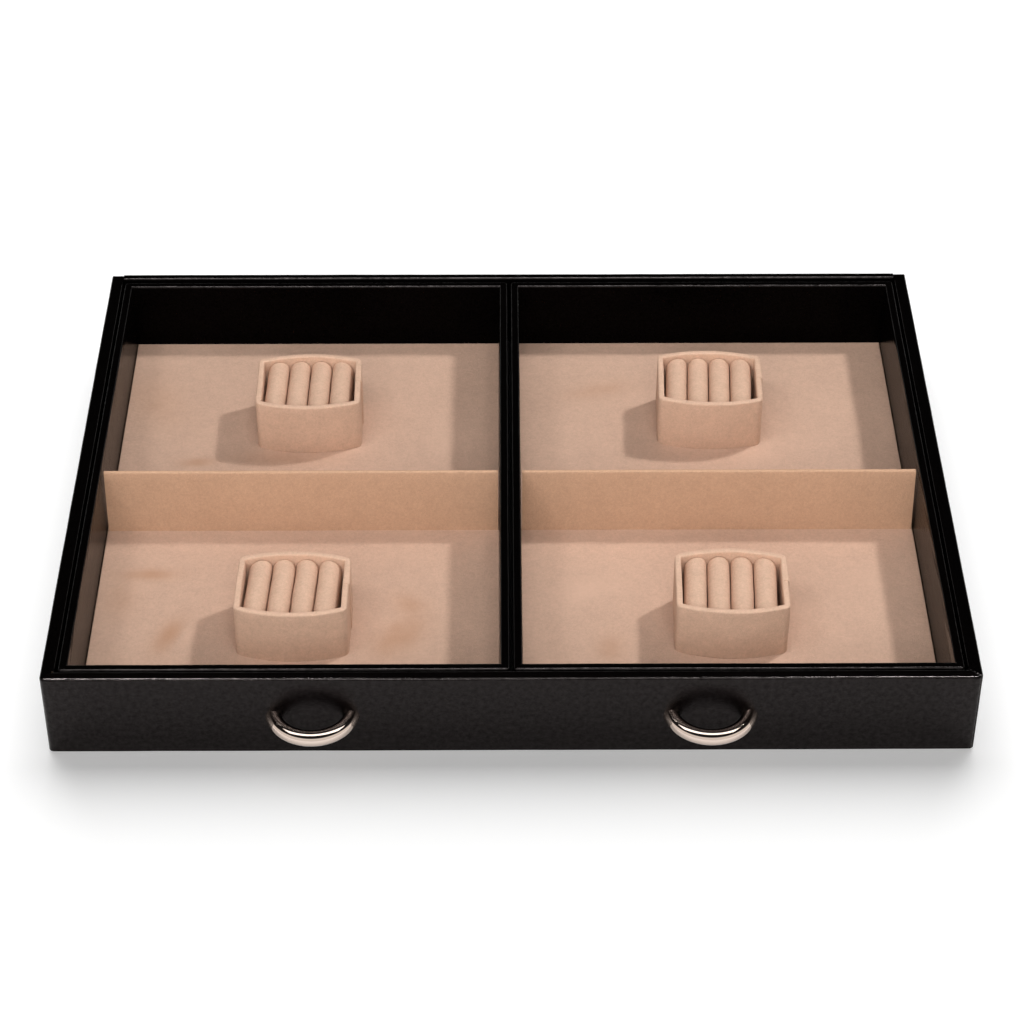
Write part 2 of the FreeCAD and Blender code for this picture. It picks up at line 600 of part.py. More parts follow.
def holder_wall(name, side, row):
    """The bent wall: one strip whose rear end laps over its front end half-way along the right side."""
    body = new_body(name + "_wall")
    plan = sketch_on(body, "XY_Plane", "plan")
    outline(plan, [("-Layout.HolderHalf", "-Layout.HolderSideHalf", "Layout.HolderArc"),
                   ("Layout.HolderHalf", "-Layout.HolderSideHalf"),
                   ("Layout.HolderHalf", "0"),
                   ("Layout.HolderHalf + Sizes.HolderSeam", "0"),
                   ("Layout.HolderHalf", "Layout.HolderSideHalf", "Layout.HolderArc"),
                   ("-Layout.HolderHalf", "Layout.HolderSideHalf")])
    pad(body, plan, "Sizes.HolderHeight")
    corner_y = value("Layout.HolderSideHalf")
    round_edges(body, "corners", "Sizes.HolderCorner",
                lambda edge: is_vertical(edge) and abs(abs(edge.BoundBox.YMin) - corner_y) < 1e-6)
    inside = sketch_on(body, "XY_Plane", "inside")
    bulged_plan(inside, "-Layout.HolderInner", "Layout.HolderInner", "Layout.HolderArc - Sizes.HolderWall")
    pocket(body, inside, "Sizes.HolderHeight")
    inner_x = value("Layout.HolderInner")
    round_edges(body, "inside_corners", "Sizes.HolderCorner - Sizes.HolderWall",
                lambda edge: is_vertical(edge) and abs(abs(edge.BoundBox.XMin) - inner_x) < 1e-6)
    bevel_edges(body, "rim", "Sizes.HolderRim", at_height(value("Sizes.HolderHeight")))
    place_holder_part(body, side, row, "0")


def holder_base(name, side, row):
    """The base board inside the wall."""
    body = new_body(name + "_base")
    plan = sketch_on(body, "XY_Plane", "plan")
    half = "(Layout.HolderInner - Sizes.HolderFit)"
    bulged_plan(plan, "-" + half, half, "Layout.HolderArc - Sizes.HolderWall - Sizes.HolderFit")
    pad(body, plan, "Sizes.HolderBase")
    bevel_edges(body, "corners", "Sizes.HolderCorner - Sizes.HolderWall", is_vertical)
    place_holder_part(body, side, row, "0")


def holder_cushion(name, side, row, number):
    """An upright foam cushion in suede: flat sides, a round top, ends that follow the wall."""
    body = new_body("%s_cushion_%d" % (name, number))
    plan = sketch_on(body, "XY_Plane", "plan")
    middle = "%g * Layout.CushionPitch" % (number - (CUSHIONS_PER_HOLDER + 1) / 2)
    bulged_plan(plan, "(%s - Layout.CushionWidth / 2)" % middle, "(%s + Layout.CushionWidth / 2)" % middle,
                "Layout.HolderArc - Sizes.HolderWall - Sizes.CushionClearance")
    pad(body, plan, "Layout.CushionTop - Sizes.HolderBase")
    top = at_height(value("Layout.CushionTop - Sizes.HolderBase"))
    round_edges(body, "top", "Layout.CushionRound", lambda edge: top(edge) and runs_along_y(edge))
    place_holder_part(body, side, row, "Sizes.HolderBase")


def holder(side, row):
    name = "holder_%s_%s" % (SIDE_NAMES[side], ROW_NAMES[row])
    holder_wall(name, side, row)
    holder_base(name, side, row)
    for number in range(1, CUSHIONS_PER_HOLDER + 1):
        holder_cushion(name, side, row, number)


# ---------------------------------------------------------------- assembly and export

def build():
    drawer_boards()
    drawer_front_board()
    drawer_front_leather()
    drawer_rear_leather()
    front_pulls()
    pull_screws()
    for side in (LEFT, RIGHT):
        drawer_side_leather(side)
        tray_boards(side)
        tray_leather(side)
        divider(side)
        for row in (FRONT, REAR):
            floor_panel(side, row)
            holder(side, row)
    doc.recompute()


def node_names():
    """Every sub-part that is written to a file of its own."""
    names = ["drawer_%s_%s" % (wall, piece) for piece in ("board", "leather")
             for wall in ("front", "rear", "left", "right")]
    names += ["drawer_base_board", "drawer_floor_lining", "drawer_underside_cloth"]
    names += ["front_pulls", "pull_screws"]
    for side in SIDE_NAMES.values():
        names += ["tray_%s_%s" % (side, piece) for piece in (
            "front_wall", "rear_wall", "outer_wall", "middle_wall", "base", "leather",
            "divider", "front_floor", "rear_floor")]
        for row in ROW_NAMES.values():
            name = "holder_%s_%s" % (side, row)
            names += [name + "_wall", name + "_base"]
            names += ["%s_cushion_%d" % (name, number) for number in range(1, CUSHIONS_PER_HOLDER + 1)]
    return names


def check_document():
    for item in doc.Objects:
        if "Invalid" in item.State or "Error" in item.State:
            raise RuntimeError("%s failed: %s" % (item.Name, item.State))


def export(names):
    os.makedirs("parts", exist_ok=True)
    for name in names:
        item = doc.getObject(name)
        item.Label = name
        if item.Shape.isNull() or not item.Shape.isValid() or not item.Shape.Solids:
            raise RuntimeError(name + " has no valid solid")
        item.Shape.exportStep("parts/%s.step" % name)


build()
check_document()
export(node_names())
print("wrote %d nodes" % len(node_names()))
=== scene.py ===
"""The looks of the cufflink drawer: leather skins, suede, foam cushions and polished pulls around
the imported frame. Lengths are in metres, in the frame's own axes: +Z up, the front faces -Y."""

import json
import math

import bmesh
import bpy
import numpy as np
from mathutils import Matrix, Vector, noise

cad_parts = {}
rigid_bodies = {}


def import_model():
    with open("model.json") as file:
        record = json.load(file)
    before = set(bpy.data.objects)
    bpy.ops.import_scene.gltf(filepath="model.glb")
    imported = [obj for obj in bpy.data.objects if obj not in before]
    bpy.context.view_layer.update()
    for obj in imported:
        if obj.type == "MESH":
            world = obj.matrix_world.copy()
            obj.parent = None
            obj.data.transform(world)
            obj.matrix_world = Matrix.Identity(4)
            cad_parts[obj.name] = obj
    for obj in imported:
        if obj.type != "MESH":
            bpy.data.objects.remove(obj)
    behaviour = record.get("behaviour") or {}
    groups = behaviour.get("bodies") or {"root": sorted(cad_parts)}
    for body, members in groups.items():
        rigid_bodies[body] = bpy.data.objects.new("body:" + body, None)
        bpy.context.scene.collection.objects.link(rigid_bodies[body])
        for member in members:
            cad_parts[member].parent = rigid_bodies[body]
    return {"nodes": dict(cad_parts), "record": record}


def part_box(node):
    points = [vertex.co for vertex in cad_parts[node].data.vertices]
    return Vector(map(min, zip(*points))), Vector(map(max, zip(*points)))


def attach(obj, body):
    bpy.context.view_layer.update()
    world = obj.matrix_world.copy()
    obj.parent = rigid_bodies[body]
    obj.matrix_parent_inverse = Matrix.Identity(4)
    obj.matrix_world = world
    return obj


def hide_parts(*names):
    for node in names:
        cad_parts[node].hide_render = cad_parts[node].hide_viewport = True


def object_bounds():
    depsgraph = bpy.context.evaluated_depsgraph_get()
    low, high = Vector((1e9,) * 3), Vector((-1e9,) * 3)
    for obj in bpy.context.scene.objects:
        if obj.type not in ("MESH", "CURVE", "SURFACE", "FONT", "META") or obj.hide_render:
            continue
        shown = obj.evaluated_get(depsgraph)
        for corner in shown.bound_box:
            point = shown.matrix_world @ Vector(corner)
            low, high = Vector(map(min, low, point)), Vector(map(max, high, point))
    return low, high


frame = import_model()
cad_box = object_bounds()
# Without a seed, noise.noise_vector would differ from run to run.
noise.seed_set(7)

MM = 0.001
SHARP_ANGLE = math.radians(38)
SIDES = {"left": -1, "right": 1}
ROWS = ("front", "rear")
SLOT_OF_NODE = {part["node"]: part["material_slot"] for part in frame["record"]["subparts"]}

# The picture's camera: a lens of 20.5 degrees, in the drawer's own frame.
IMAGE_SIZE = 1024
FOCAL_PIXELS = 2829.6
SENSOR_WIDTH = 36.0
CAMERA_PLACE = Vector((-4.469, -1029.683, 856.166)) * MM
CAMERA_PITCH = math.radians(39.413)
CAMERA_YAW = math.radians(0.298)
CAMERA_ROLL = math.radians(0.037)

# Leather and suede.
LEATHER_THICKNESS = 0.8 * MM
RIM_RADIUS = 1.0 * MM
DRAWER_CORNER = 2.4 * MM
LEATHER_SPACING = 6 * MM
SUEDE_EDGE = 0.45 * MM
SUEDE_OVERHANG = 0.6 * MM
SUEDE_SPACING = 2.5 * MM
DIVIDER_LEAN = math.radians(6.3)
DIVIDER_THICKNESS = 2.0 * MM

# The holders. Each is turned a little differently, in degrees.
HOLDER_WIDTH = 50.2 * MM
HOLDER_SIDE = 35.4 * MM
HOLDER_BULGE = 4.5 * MM
HOLDER_WALL = 2.8 * MM
HOLDER_CORNER = 3.5 * MM
HOLDER_RIM = 0.8 * MM
HOLDER_SEAM = 0.45 * MM
HOLDER_FOLD = 0.6 * MM
HOLDER_TURNS = {"left_front": -1.0, "left_rear": 0.4, "right_front": -1.2, "right_rear": -1.5}

# The cushions of a holder.
CUSHIONS = 4
CUSHION_END_ROOM = 1.6 * MM
CUSHION_SLIT = 0.42 * MM
CUSHION_SHIFT = -0.4 * MM
CUSHION_OUTER_RISE = 1.0 * MM
CUSHION_INNER_RISE = 0.2 * MM
CUSHION_SLANT = 0.5 * MM
CUSHION_END_ROUND = 0.6 * MM
CUSHION_CLEARANCE = 0.15 * MM
CUSHION_SPACING = 2.2 * MM

# The half-ring pulls: radius to the middle of the rod, the rod's diameter, and how far the ring's middle
# lies behind the drawer's face.
PULL_RADIUS = 17.15 * MM
PULL_ROD = 6.9 * MM
PULL_SETBACK = 3.9 * MM
PULL_STEPS = 96
ROD_STEPS = 40

# How each kind of piece wavers: the size and height of its waves, and where it starts in their noise.
DRAWER_WAVES = (22 * MM, 0.09 * MM)
TRAY_WAVES = (20 * MM, 0.1 * MM)
DIVIDER_WAVES = (45 * MM, 0.12 * MM)
HOLDER_WAVES = (13 * MM, 0.16 * MM)
CUSHION_WAVES = (9 * MM, 0.14 * MM)
DRAWER_SEED = 1
TRAY_SEED = 11
DIVIDER_SEED = 21
HOLDER_SEED = 31
CUSHION_SEED = 41

# How far down from its upper edge the suede is painted pale: rubbed wear, and a painted highlight where
# the edge catches the light.
DIVIDER_WEAR_AND_HIGHLIGHT = 1.1 * MM
HOLDER_WEAR_AND_HIGHLIGHT = 0.9 * MM
CUSHION_WEAR_AND_HIGHLIGHT = 1.2 * MM


# ---------------------------------------------------------------- material helpers

class Surface:
    """A Principled material and short ways to add nodes to it."""

    def __init__(self, name, **sockets):
        self.material = bpy.data.materials.new(name)
        self.material.use_nodes = True
        self.tree = self.material.node_tree
        self.shader = self.tree.nodes["Principled BSDF"]
        self.place = self.node("ShaderNodeTexCoord").outputs["Object"]
        for socket, value in sockets.items():
            self.shader.inputs[socket.replace("_", " ")].default_value = value

    def node(self, kind, **settings):
        made = self.tree.nodes.new(kind)
        for name, value in settings.items():
            setattr(made, name, value)
        return made

    def link(self, source, target):
        self.tree.links.new(source, target)

    def noise(self, scale, detail=3.0, roughness=0.55, stretch=(1, 1, 1)):
        """Noise with about `scale` features a metre; stretch squeezes it along an axis."""
        mapping = self.node("ShaderNodeMapping")
        mapping.inputs["Scale"].default_value = stretch
        self.link(self.place, mapping.inputs["Vector"])
        texture = self.node("ShaderNodeTexNoise")
        texture.inputs["Scale"].default_value = scale
        texture.inputs["Detail"].default_value = detail
        texture.inputs["Roughness"].default_value = roughness
        self.link(mapping.outputs["Vector"], texture.inputs["Vector"])
        return texture.outputs["Fac"]

    def cells(self, scale):
        """Distance to the edge of Voronoi cells: the pebbles of a leather grain."""
        texture = self.node("ShaderNodeTexVoronoi", feature="DISTANCE_TO_EDGE")
        texture.inputs["Scale"].default_value = scale
        self.link(self.place, texture.inputs["Vector"])
        return texture.outputs["Distance"]

    def remap(self, source, low, high, out_low, out_high):
        node = self.node("ShaderNodeMapRange")
        self.link(source, node.inputs["Value"])
        limits = {"From Min": low, "From Max": high, "To Min": out_low, "To Max": out_high}
        for socket, value in limits.items():
            node.inputs[socket].default_value = value
        return node.outputs["Result"]

    def mix(self, factor, first, second):
        """A colour mix; first and second are colours or sockets."""
        node = self.node("ShaderNodeMix", data_type="RGBA")
        self.link(factor, node.inputs[0])
        for socket, value in ((node.inputs[6], first), (node.inputs[7], second)):
            if isinstance(value, tuple):
                socket.default_value = (*value, 1)
            else:
                self.link(value, socket)
        return node.outputs[2]

    def blend(self, share, first, second):
        """Mixes two colour sockets in a fixed share."""
        node = self.node("ShaderNodeMix", data_type="RGBA")
        node.inputs[0].default_value = share
        self.link(first, node.inputs[6])
        self.link(second, node.inputs[7])
        return node.outputs[2]

    def bump(self, heights):
        """Stacks (height socket, strength, distance) bumps onto the shader's normal."""
        normal = None
        for height, strength, distance in heights:
            node = self.node("ShaderNodeBump")
            node.inputs["Strength"].default_value = strength
            node.inputs["Distance"].default_value = distance
            self.link(height, node.inputs["Height"])
            if normal is not None:
                self.link(normal, node.inputs["Normal"])
            normal = node.outputs["Normal"]
        self.link(normal, self.shader.inputs["Normal"])

    def colour(self, source):
        self.link(source, self.shader.inputs["Base Color"])

    def roughness(self, source):
        self.link(source, self.shader.inputs["Roughness"])


def shade(colour, factor):
    return tuple(channel * factor for channel in colour)


def suede(name, colour, smudge, mottling):
    """Short-napped suede: soft smudges where the nap lies another way, mottling, grain and fine fibres.
    The attribute nap marks patches darkened by pressed nap and painted shade (below 0: lightened), and
    wear edges painted pale by rubbed wear and a painted highlight."""
    surface = Surface(name, Sheen_Weight=0.18, Sheen_Roughness=0.45, Specular_IOR_Level=0.12)
    surface.shader.inputs["Sheen Tint"].default_value = (*shade(colour, 1.3), 1)
    smudges = surface.remap(surface.noise(23, 3.5, 0.6), 0.36, 0.66, 0, 1)
    mottle = surface.remap(surface.noise(210, 3), 0.3, 0.7, 0, 1)
    grain = surface.remap(surface.noise(800, 2, 0.6), 0.32, 0.68, 0, 1)
    fibre = surface.remap(surface.noise(2600, 2, 0.7), 0.32, 0.68, 0, 1)
    base = surface.mix(smudges, shade(colour, 1.02 - smudge), shade(colour, 1.02 + 0.6 * smudge))
    for layer, strength in ((mottle, mottling), (grain, 0.28), (fibre, 0.3)):
        tone = surface.mix(layer, shade(colour, 1.26), shade(colour, 0.74))
        base = surface.blend(strength, base, tone)
    # Painted shade and painted light in patches, together with pressed nap: darker above 0, lighter below.
    nap = surface.node("ShaderNodeAttribute", attribute_name="nap").outputs["Fac"]
    nap_and_shade_colour = (colour[0] * 0.84, colour[1] * 0.74, colour[2] * 0.64)
    base = surface.mix(surface.remap(nap, 0, 1, 0, 1), base, nap_and_shade_colour)
    base = surface.mix(surface.remap(nap, 0, -1, 0, 1), base, shade(colour, 1.14))
    # Painted highlight together with rubbed wear: upper edges are made paler.
    wear = surface.node("ShaderNodeAttribute", attribute_name="wear").outputs["Fac"]
    base = surface.mix(surface.remap(wear, 0, 1, 0, 0.12), base, shade(colour, 1.22))
    surface.colour(base)
    surface.roughness(surface.remap(mottle, 0, 1, 0.86, 0.98))
    surface.bump([(smudges, 0.25, 0.0004), (mottle, 0.3, 0.00014), (grain, 0.4, 0.00014),
                  (fibre, 0.5, 0.00012)])
    return surface.material


def leather(name, colour, roughness, ior, wave, mottling, pebble=0.3):
    """Black grained leather with a warm tint, from its smoothest to its roughest patches. Waves and
    mottling break up its highlights, and pebble is the strength of its grain."""
    surface = Surface(name, IOR=ior)
    surface.shader.inputs["Specular Tint"].default_value = (1, 0.88, 0.86, 1)
    patches = surface.noise(60, 3)
    pores = surface.remap(surface.noise(1000, 4, 0.75), 0.35, 0.65, 0, 1)
    worn = surface.mix(patches, shade(colour, 0.8), shade(colour, 1.3))
    surface.colour(surface.mix(pores, shade(colour, 0.1), worn))
    surface.roughness(surface.remap(patches, 0.3, 0.7, *roughness))
    mottle = surface.remap(surface.noise(420, 4, 0.7), 0.3, 0.7, 0.5 - mottling, 0.5 + mottling)
    surface.link(mottle, surface.shader.inputs["Specular IOR Level"])
    grain = surface.remap(surface.cells(1300), 0, 0.25, 0, 1)
    surface.bump([(surface.noise(85, 2), wave, 0.001), (grain, pebble, 0.00007),
                  (pores, 0.3, 0.00005)])
    return surface.material


def polished_metal(name):
    """Nickel, polished in front. The side that faces the drawer has a near black colour: painted shade,
    which darkens the ring's mirror image in the leather.
    """
    surface = Surface(name, Metallic=1.0)
    split = surface.node("ShaderNodeSeparateXYZ")
    surface.link(surface.node("ShaderNodeNewGeometry").outputs["Normal"], split.inputs[0])
    # Painted shade: the colour is near black where the normal faces the drawer.
    painted_shade_back = surface.remap(split.outputs["Y"], 0.08, 0.3, 0, 1)
    surface.colour(surface.mix(painted_shade_back, (0.73, 0.60, 0.52), (0.010, 0.007, 0.006)))
    polish = surface.noise(900, 3, 0.6, stretch=(1, 1, 5))
    surface.roughness(surface.remap(polish, 0.3, 0.7, 0.035, 0.075))
    surface.bump([(polish, 0.02, 0.00005)])
    return surface.material


def zinc_steel(name):
    surface = Surface(name, Metallic=1.0)
    spangle = surface.noise(700, 3)
    surface.colour(surface.mix(spangle, (0.48, 0.48, 0.47), (0.66, 0.66, 0.65)))
    surface.roughness(surface.remap(spangle, 0.3, 0.7, 0.28, 0.45))
    return surface.material


def fibreboard(name):
    surface = Surface(name, Roughness=0.85)
    grain = surface.noise(900, 4, 0.7, stretch=(1, 1, 2))
    surface.colour(surface.mix(grain, (0.36, 0.25, 0.15), (0.56, 0.42, 0.28)))
    surface.bump([(grain, 0.3, 0.0001)])
    return surface.material


def felt(name, colour):
    surface = Surface(name, Roughness=0.95, Sheen_Weight=0.3)
    fibre = surface.noise(1600, 4, 0.75)
    surface.colour(surface.mix(fibre, shade(colour, 0.6), shade(colour, 1.6)))
    surface.bump([(fibre, 0.6, 0.0002)])
    return surface.material


# Leather black, and the beiges of the suede on the floors, the dividers and the holders.
BLACK = (0.0044, 0.0031, 0.0030)
SUEDE_COLOUR = (0.61, 0.402, 0.298)
# The dividers' beige is the floors' suede made darker and redder: painted shade on their faces.
DIVIDER_SHADED_COLOUR = (0.575, 0.352, 0.228)
HOLDER_COLOUR = (0.638, 0.423, 0.306)

materials = {
    "leather_outside": leather("leather_outside", BLACK, (0.15, 0.22), ior=1.29, wave=0.25, mottling=0.22),
    # The rim and inside copies of the leather have a darker base colour than the outside: painted shade
    # that keeps the tops and inner walls black.
    "leather_rim_shaded": leather("leather_rim_shaded", shade(BLACK, 0.15), (0.05, 0.08), ior=1.26, wave=0.12,
                           mottling=0.35, pebble=0.1),
    "tray_rim_shaded": leather("tray_rim_shaded", shade(BLACK, 0.15), (0.06, 0.12), ior=1.22, wave=0.4, mottling=0.3),
    "leather_inside_shaded": leather("leather_inside_shaded", shade(BLACK, 0.4), (0.05, 0.09), ior=1.08, wave=0.1,
                              mottling=0.05),
    "tray_suede": suede("tray_suede", SUEDE_COLOUR, smudge=0.1, mottling=0.24),
    "divider_shaded_suede": suede("divider_shaded_suede", DIVIDER_SHADED_COLOUR, smudge=0.05, mottling=0.2),
    "holder_suede": suede("holder_suede", HOLDER_COLOUR, smudge=0.08, mottling=0.38),
    "black_cloth": felt("black_cloth", (0.02, 0.018, 0.018)),
    "board": fibreboard("board"),
    "polished_pull": polished_metal("polished_pull"),
    "screw_steel": zinc_steel("screw_steel"),
}
materials["black_leather"] = materials["leather_outside"]


# ---------------------------------------------------------------- mesh helpers

def make_piece(name, points, faces, finishes, face_finish=None, **attributes):
    """A smooth-shaded mesh object. face_finish gives each face's index into finishes, and attributes
    are values for each point."""
    mesh = bpy.data.meshes.new(name)
    mesh.from_pydata([tuple(point) for point in points], [], [tuple(face) for face in faces])
    for finish in finishes:
        mesh.materials.append(materials[finish])
    if face_finish is not None:
        mesh.polygons.foreach_set("material_index", face_finish)
    for attribute, values in attributes.items():
        layer = mesh.attributes.new(attribute, "FLOAT", "POINT")
        layer.data.foreach_set("value", np.asarray(values, dtype=np.float32))
    mesh.polygons.foreach_set("use_smooth", [True] * len(mesh.polygons))
    mesh.validate()
    piece = bpy.data.objects.new(name, mesh)
    bpy.context.scene.collection.objects.link(piece)
    return piece


def weld(piece):
    """Merges the doubled points of collapsed corners, turns all faces outwards and keeps real edges
    sharp under the smooth shading."""
    made = bmesh.new()
    made.from_mesh(piece.data)
    bmesh.ops.remove_doubles(made, verts=made.verts, dist=1e-6)
    bmesh.ops.recalc_face_normals(made, faces=made.faces)
    for edge in made.edges:
        edge.smooth = len(edge.link_faces) == 2 and edge.calc_face_angle() < SHARP_ANGLE
    made.to_mesh(piece.data)
    made.free()


def finish_piece(piece, body, slot, *nodes):
    """Hands a finished piece to the frame: what it rides on and the nodes it stands for. The slot is not
    used.
    """
    weld(piece)
    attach(piece, body)
    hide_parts(*nodes)
    return piece


def graded(length, ends, spacing):
    """Places along a length: close together near both ends, `spacing` apart between."""
    steps = [0.0, *ends]
    middle = max(2, round((length - 2 * ends[-1]) / spacing))
    inner = [ends[-1] + (length - 2 * ends[-1]) * step / middle for step in range(1, middle)]
    return np.array(steps + inner + [length - step for step in reversed(steps)])


def arc(centre, radius, start, end, steps):
    """Points on an arc, with both ends."""
    return [(centre[0] + radius * math.cos(angle), centre[1] + radius * math.sin(angle))
            for angle in np.linspace(start, end, steps + 1)]


HOLLOW_CORNERS = 4


def rim_profile(thickness, bottom, inner_bottom, top, radius, rows, hollow):
    """A closed section over a wall: (depth from the outside, height), up the outside, over the
    rounded rim and down the inside, then back along the leather's underside with its
    HOLLOW_CORNERS corners. Also the rows of the rim and the row where the inside starts."""
    outside = [(0.0, height) for height in np.linspace(bottom, top - radius, rows, endpoint=False)]
    rim = arc((radius, top - radius), radius, math.pi, math.pi / 2, 6)
    rim += [(depth, top) for depth in np.linspace(radius, thickness - radius, 4)[1:-1]]
    rim += arc((thickness - radius, top - radius), radius, math.pi / 2, 0, 6)
    inside = [(thickness, height) for height in np.linspace(top - radius, inner_bottom, rows + 1)[1:]]
    back = [(thickness - hollow, inner_bottom), (thickness - hollow, top - hollow),
            (hollow, top - hollow), (hollow, bottom)]
    rim_rows = range(len(outside), len(outside) + len(rim) - 1)
    return outside + rim + inside + back, rim_rows, len(outside) + len(rim) - 1


def sweep(loops, closed, end_rows=None):
    """Faces and points of a closed section carried along stations. loops[row] holds one point for
    every station, and the last row joins the first. Open sweeps get flat ends, over the first
    end_rows rows if that is given."""
    rows, stations = len(loops), len(loops[0])
    points = [point for loop in loops for point in loop]
    faces = []
    face_rows = []
    for row in range(rows):
        after = (row + 1) % rows
        for station in range(stations if closed else stations - 1):
            ahead = (station + 1) % stations
            faces.append((row * stations + station, row * stations + ahead,
                          after * stations + ahead, after * stations + station))
            face_rows.append(row)
    if not closed:
        for station in (0, stations - 1):
            faces.append(tuple(row * stations + station for row in range(end_rows or rows)))
            face_rows.append(rows - 1)
    return points, faces, face_rows


def tube(rings):
    """Points and faces that join closed rings of equally many points, one after the other."""
    count = len(rings[0])
    points = [point for ring in rings for point in ring]
    faces = []
    for first in range(0, (len(rings) - 1) * count, count):
        for index in range(count):
            after = (index + 1) % count
            faces.append((first + index, first + after, first + count + after, first + count + index))
    return points, faces


def waver(points, size, amount, seed):
    """Moves points by smooth noise, `size` metres across and up to `amount` metres."""
    shift = Vector((seed * 7.31, seed * 3.77, seed * 5.13))
    return [Vector(point) + noise.noise_vector(Vector(point) / size + shift) * amount
            for point in points]


def inside_box(points):
    """Brings points that waver out of the CAD model's box back to its faces."""
    low, high = cad_box
    return [Vector(min(max(value, least), most) for value, least, most in zip(point, low, high))
            for point in points]


def finish_rows(face_rows, rim_rows, inside_start):
    """Which finish each row of a wall section has: 0 outside, 1 rim, 2 inside."""
    kinds = []
    for row in face_rows:
        if row in rim_rows:
            kinds.append(1)
        else:
            kinds.append(0 if row < inside_start else 2)
    return kinds


LEATHER_FINISHES = ("leather_outside", "leather_rim_shaded", "leather_inside_shaded")
TRAY_FINISHES = ("leather_outside", "tray_rim_shaded", "leather_inside_shaded")


# ---------------------------------------------------------------- drawer leather

FRONT_LOW, FRONT_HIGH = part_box("drawer_front_leather")
REAR_LOW, REAR_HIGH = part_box("drawer_rear_leather")
RIGHT_LOW, RIGHT_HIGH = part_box("drawer_right_leather")
BASE_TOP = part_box("drawer_base_board")[1].z
HALF_WIDTH = FRONT_HIGH.x
HALF_LENGTH = RIGHT_HIGH.y
FRONT_WALL = FRONT_HIGH.y - FRONT_LOW.y
SIDE_WALL = RIGHT_HIGH.x - RIGHT_LOW.x
REAR_WALL = REAR_HIGH.y - REAR_LOW.y
RIM_TOP = FRONT_HIGH.z
CREASE_STEPS = [step * MM for step in (0.15, 0.35, 0.6, 1.0, 1.8, 4.0)]
CREASE_DEPTH = 0.22 * MM
CREASE_WIDTH = 0.45 * MM


def rounded_corner(along, depth):
    """Bends a place near a front corner onto the corner's arc. along and depth are its distances from
    the outsides of the two walls that meet there."""
    if max(along, depth) >= DRAWER_CORNER:
        return along, depth
    if along >= depth:
        turn = math.pi / 4 * (DRAWER_CORNER - along) / (DRAWER_CORNER - depth)
        reach = DRAWER_CORNER - depth
        return DRAWER_CORNER - reach * math.sin(turn), DRAWER_CORNER - reach * math.cos(turn)
    depth, along = rounded_corner(depth, along)
    return along, depth


def drawer_corners(points):
    """Rounds the two front corners of the drawer's leather."""
    bent = []
    for point in points:
        side = math.copysign(1, point[0])
        along, depth = rounded_corner(HALF_WIDTH - abs(point[0]), HALF_LENGTH + point[1])
        bent.append((side * (HALF_WIDTH - along), depth - HALF_LENGTH, point[2]))
    return bent


def crease(distance):
    """How far leather is drawn in at a fold, by the distance from the fold."""
    return CREASE_DEPTH * math.exp(-(distance / CREASE_WIDTH) ** 2)


def wall_skin(name, thickness, top, start_of, end_of, to_world, folds, round_end=False):
    """The leather over one straight wall. start_of and end_of give a depth's first and last place
    along the wall, and to_world turns (along, depth, height) into a point. folds is how deep the crease
    at each end is, from 0 to 1."""
    profile, rim_rows, inside_start = rim_profile(
        thickness, 0.0, BASE_TOP, top, RIM_RADIUS, 7, LEATHER_THICKNESS)
    loops = []
    for depth, height in profile:
        start, end = start_of(depth), end_of(depth)
        loop = []
        for place in graded(end - start, CREASE_STEPS, LEATHER_SPACING):
            pinch = crease(place) * folds[0] + crease(end - start - place) * folds[1]
            if round_end:
                left = min(end - start - place, RIM_RADIUS)
                pinch += RIM_RADIUS - math.sqrt(RIM_RADIUS ** 2 - (RIM_RADIUS - left) ** 2)
            pinched_depth = min(max(depth, pinch), thickness - pinch)
            loop.append(to_world(start + place, pinched_depth, min(height, top - pinch)))
        loops.append(loop)
    leather_rows = len(profile) - HOLLOW_CORNERS
    points, faces, face_rows = sweep(loops, closed=False, end_rows=leather_rows)
    points = inside_box(waver(drawer_corners(points), *DRAWER_WAVES, DRAWER_SEED))
    return make_piece(name, points, faces, LEATHER_FINISHES,
                      finish_rows(face_rows, rim_rows, inside_start))


def drawer_skins():
    """Leather over the four walls. It is folded in a mitre at both front corners."""
    front = wall_skin(
        "front_leather_skin", FRONT_WALL, RIM_TOP,
        lambda depth: -HALF_WIDTH + depth, lambda depth: HALF_WIDTH - depth,
        lambda along, depth, height: (along, -HALF_LENGTH + depth, height), (0.1, 1))
    finish_piece(front, "drawer", "black_leather", "drawer_front_leather")
    for side, sign in SIDES.items():
        skin = wall_skin(
            side + "_leather_skin", SIDE_WALL, RIM_TOP,
            lambda depth: -HALF_LENGTH + min(depth, FRONT_WALL), lambda depth: HALF_LENGTH,
            lambda along, depth, height: (sign * (HALF_WIDTH - depth), along, height),
            (1 if side == "right" else 0.1, 0), round_end=True)
        finish_piece(skin, "drawer", "black_leather", "drawer_%s_leather" % side)
    rear = wall_skin(
        "rear_leather_skin", REAR_WALL, REAR_HIGH.z,
        lambda depth: REAR_LOW.x, lambda depth: REAR_HIGH.x,
        lambda along, depth, height: (along, HALF_LENGTH - depth, height), (1, 1))
    finish_piece(rear, "drawer", "black_leather", "drawer_rear_leather")


# ---------------------------------------------------------------- tray leather

TRAY_LOW, TRAY_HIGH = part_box("tray_right_leather")
TRAY_HALF_X = (TRAY_HIGH.x - TRAY_LOW.x) / 2
TRAY_HALF_Y = (TRAY_HIGH.y - TRAY_LOW.y) / 2
TRAY_WALL = TRAY_HIGH.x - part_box("tray_right_outer_wall")[0].x + LEATHER_THICKNESS
TRAY_CORNER = 1.6 * MM
TRAY_BASE_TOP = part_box("tray_right_base")[1].z


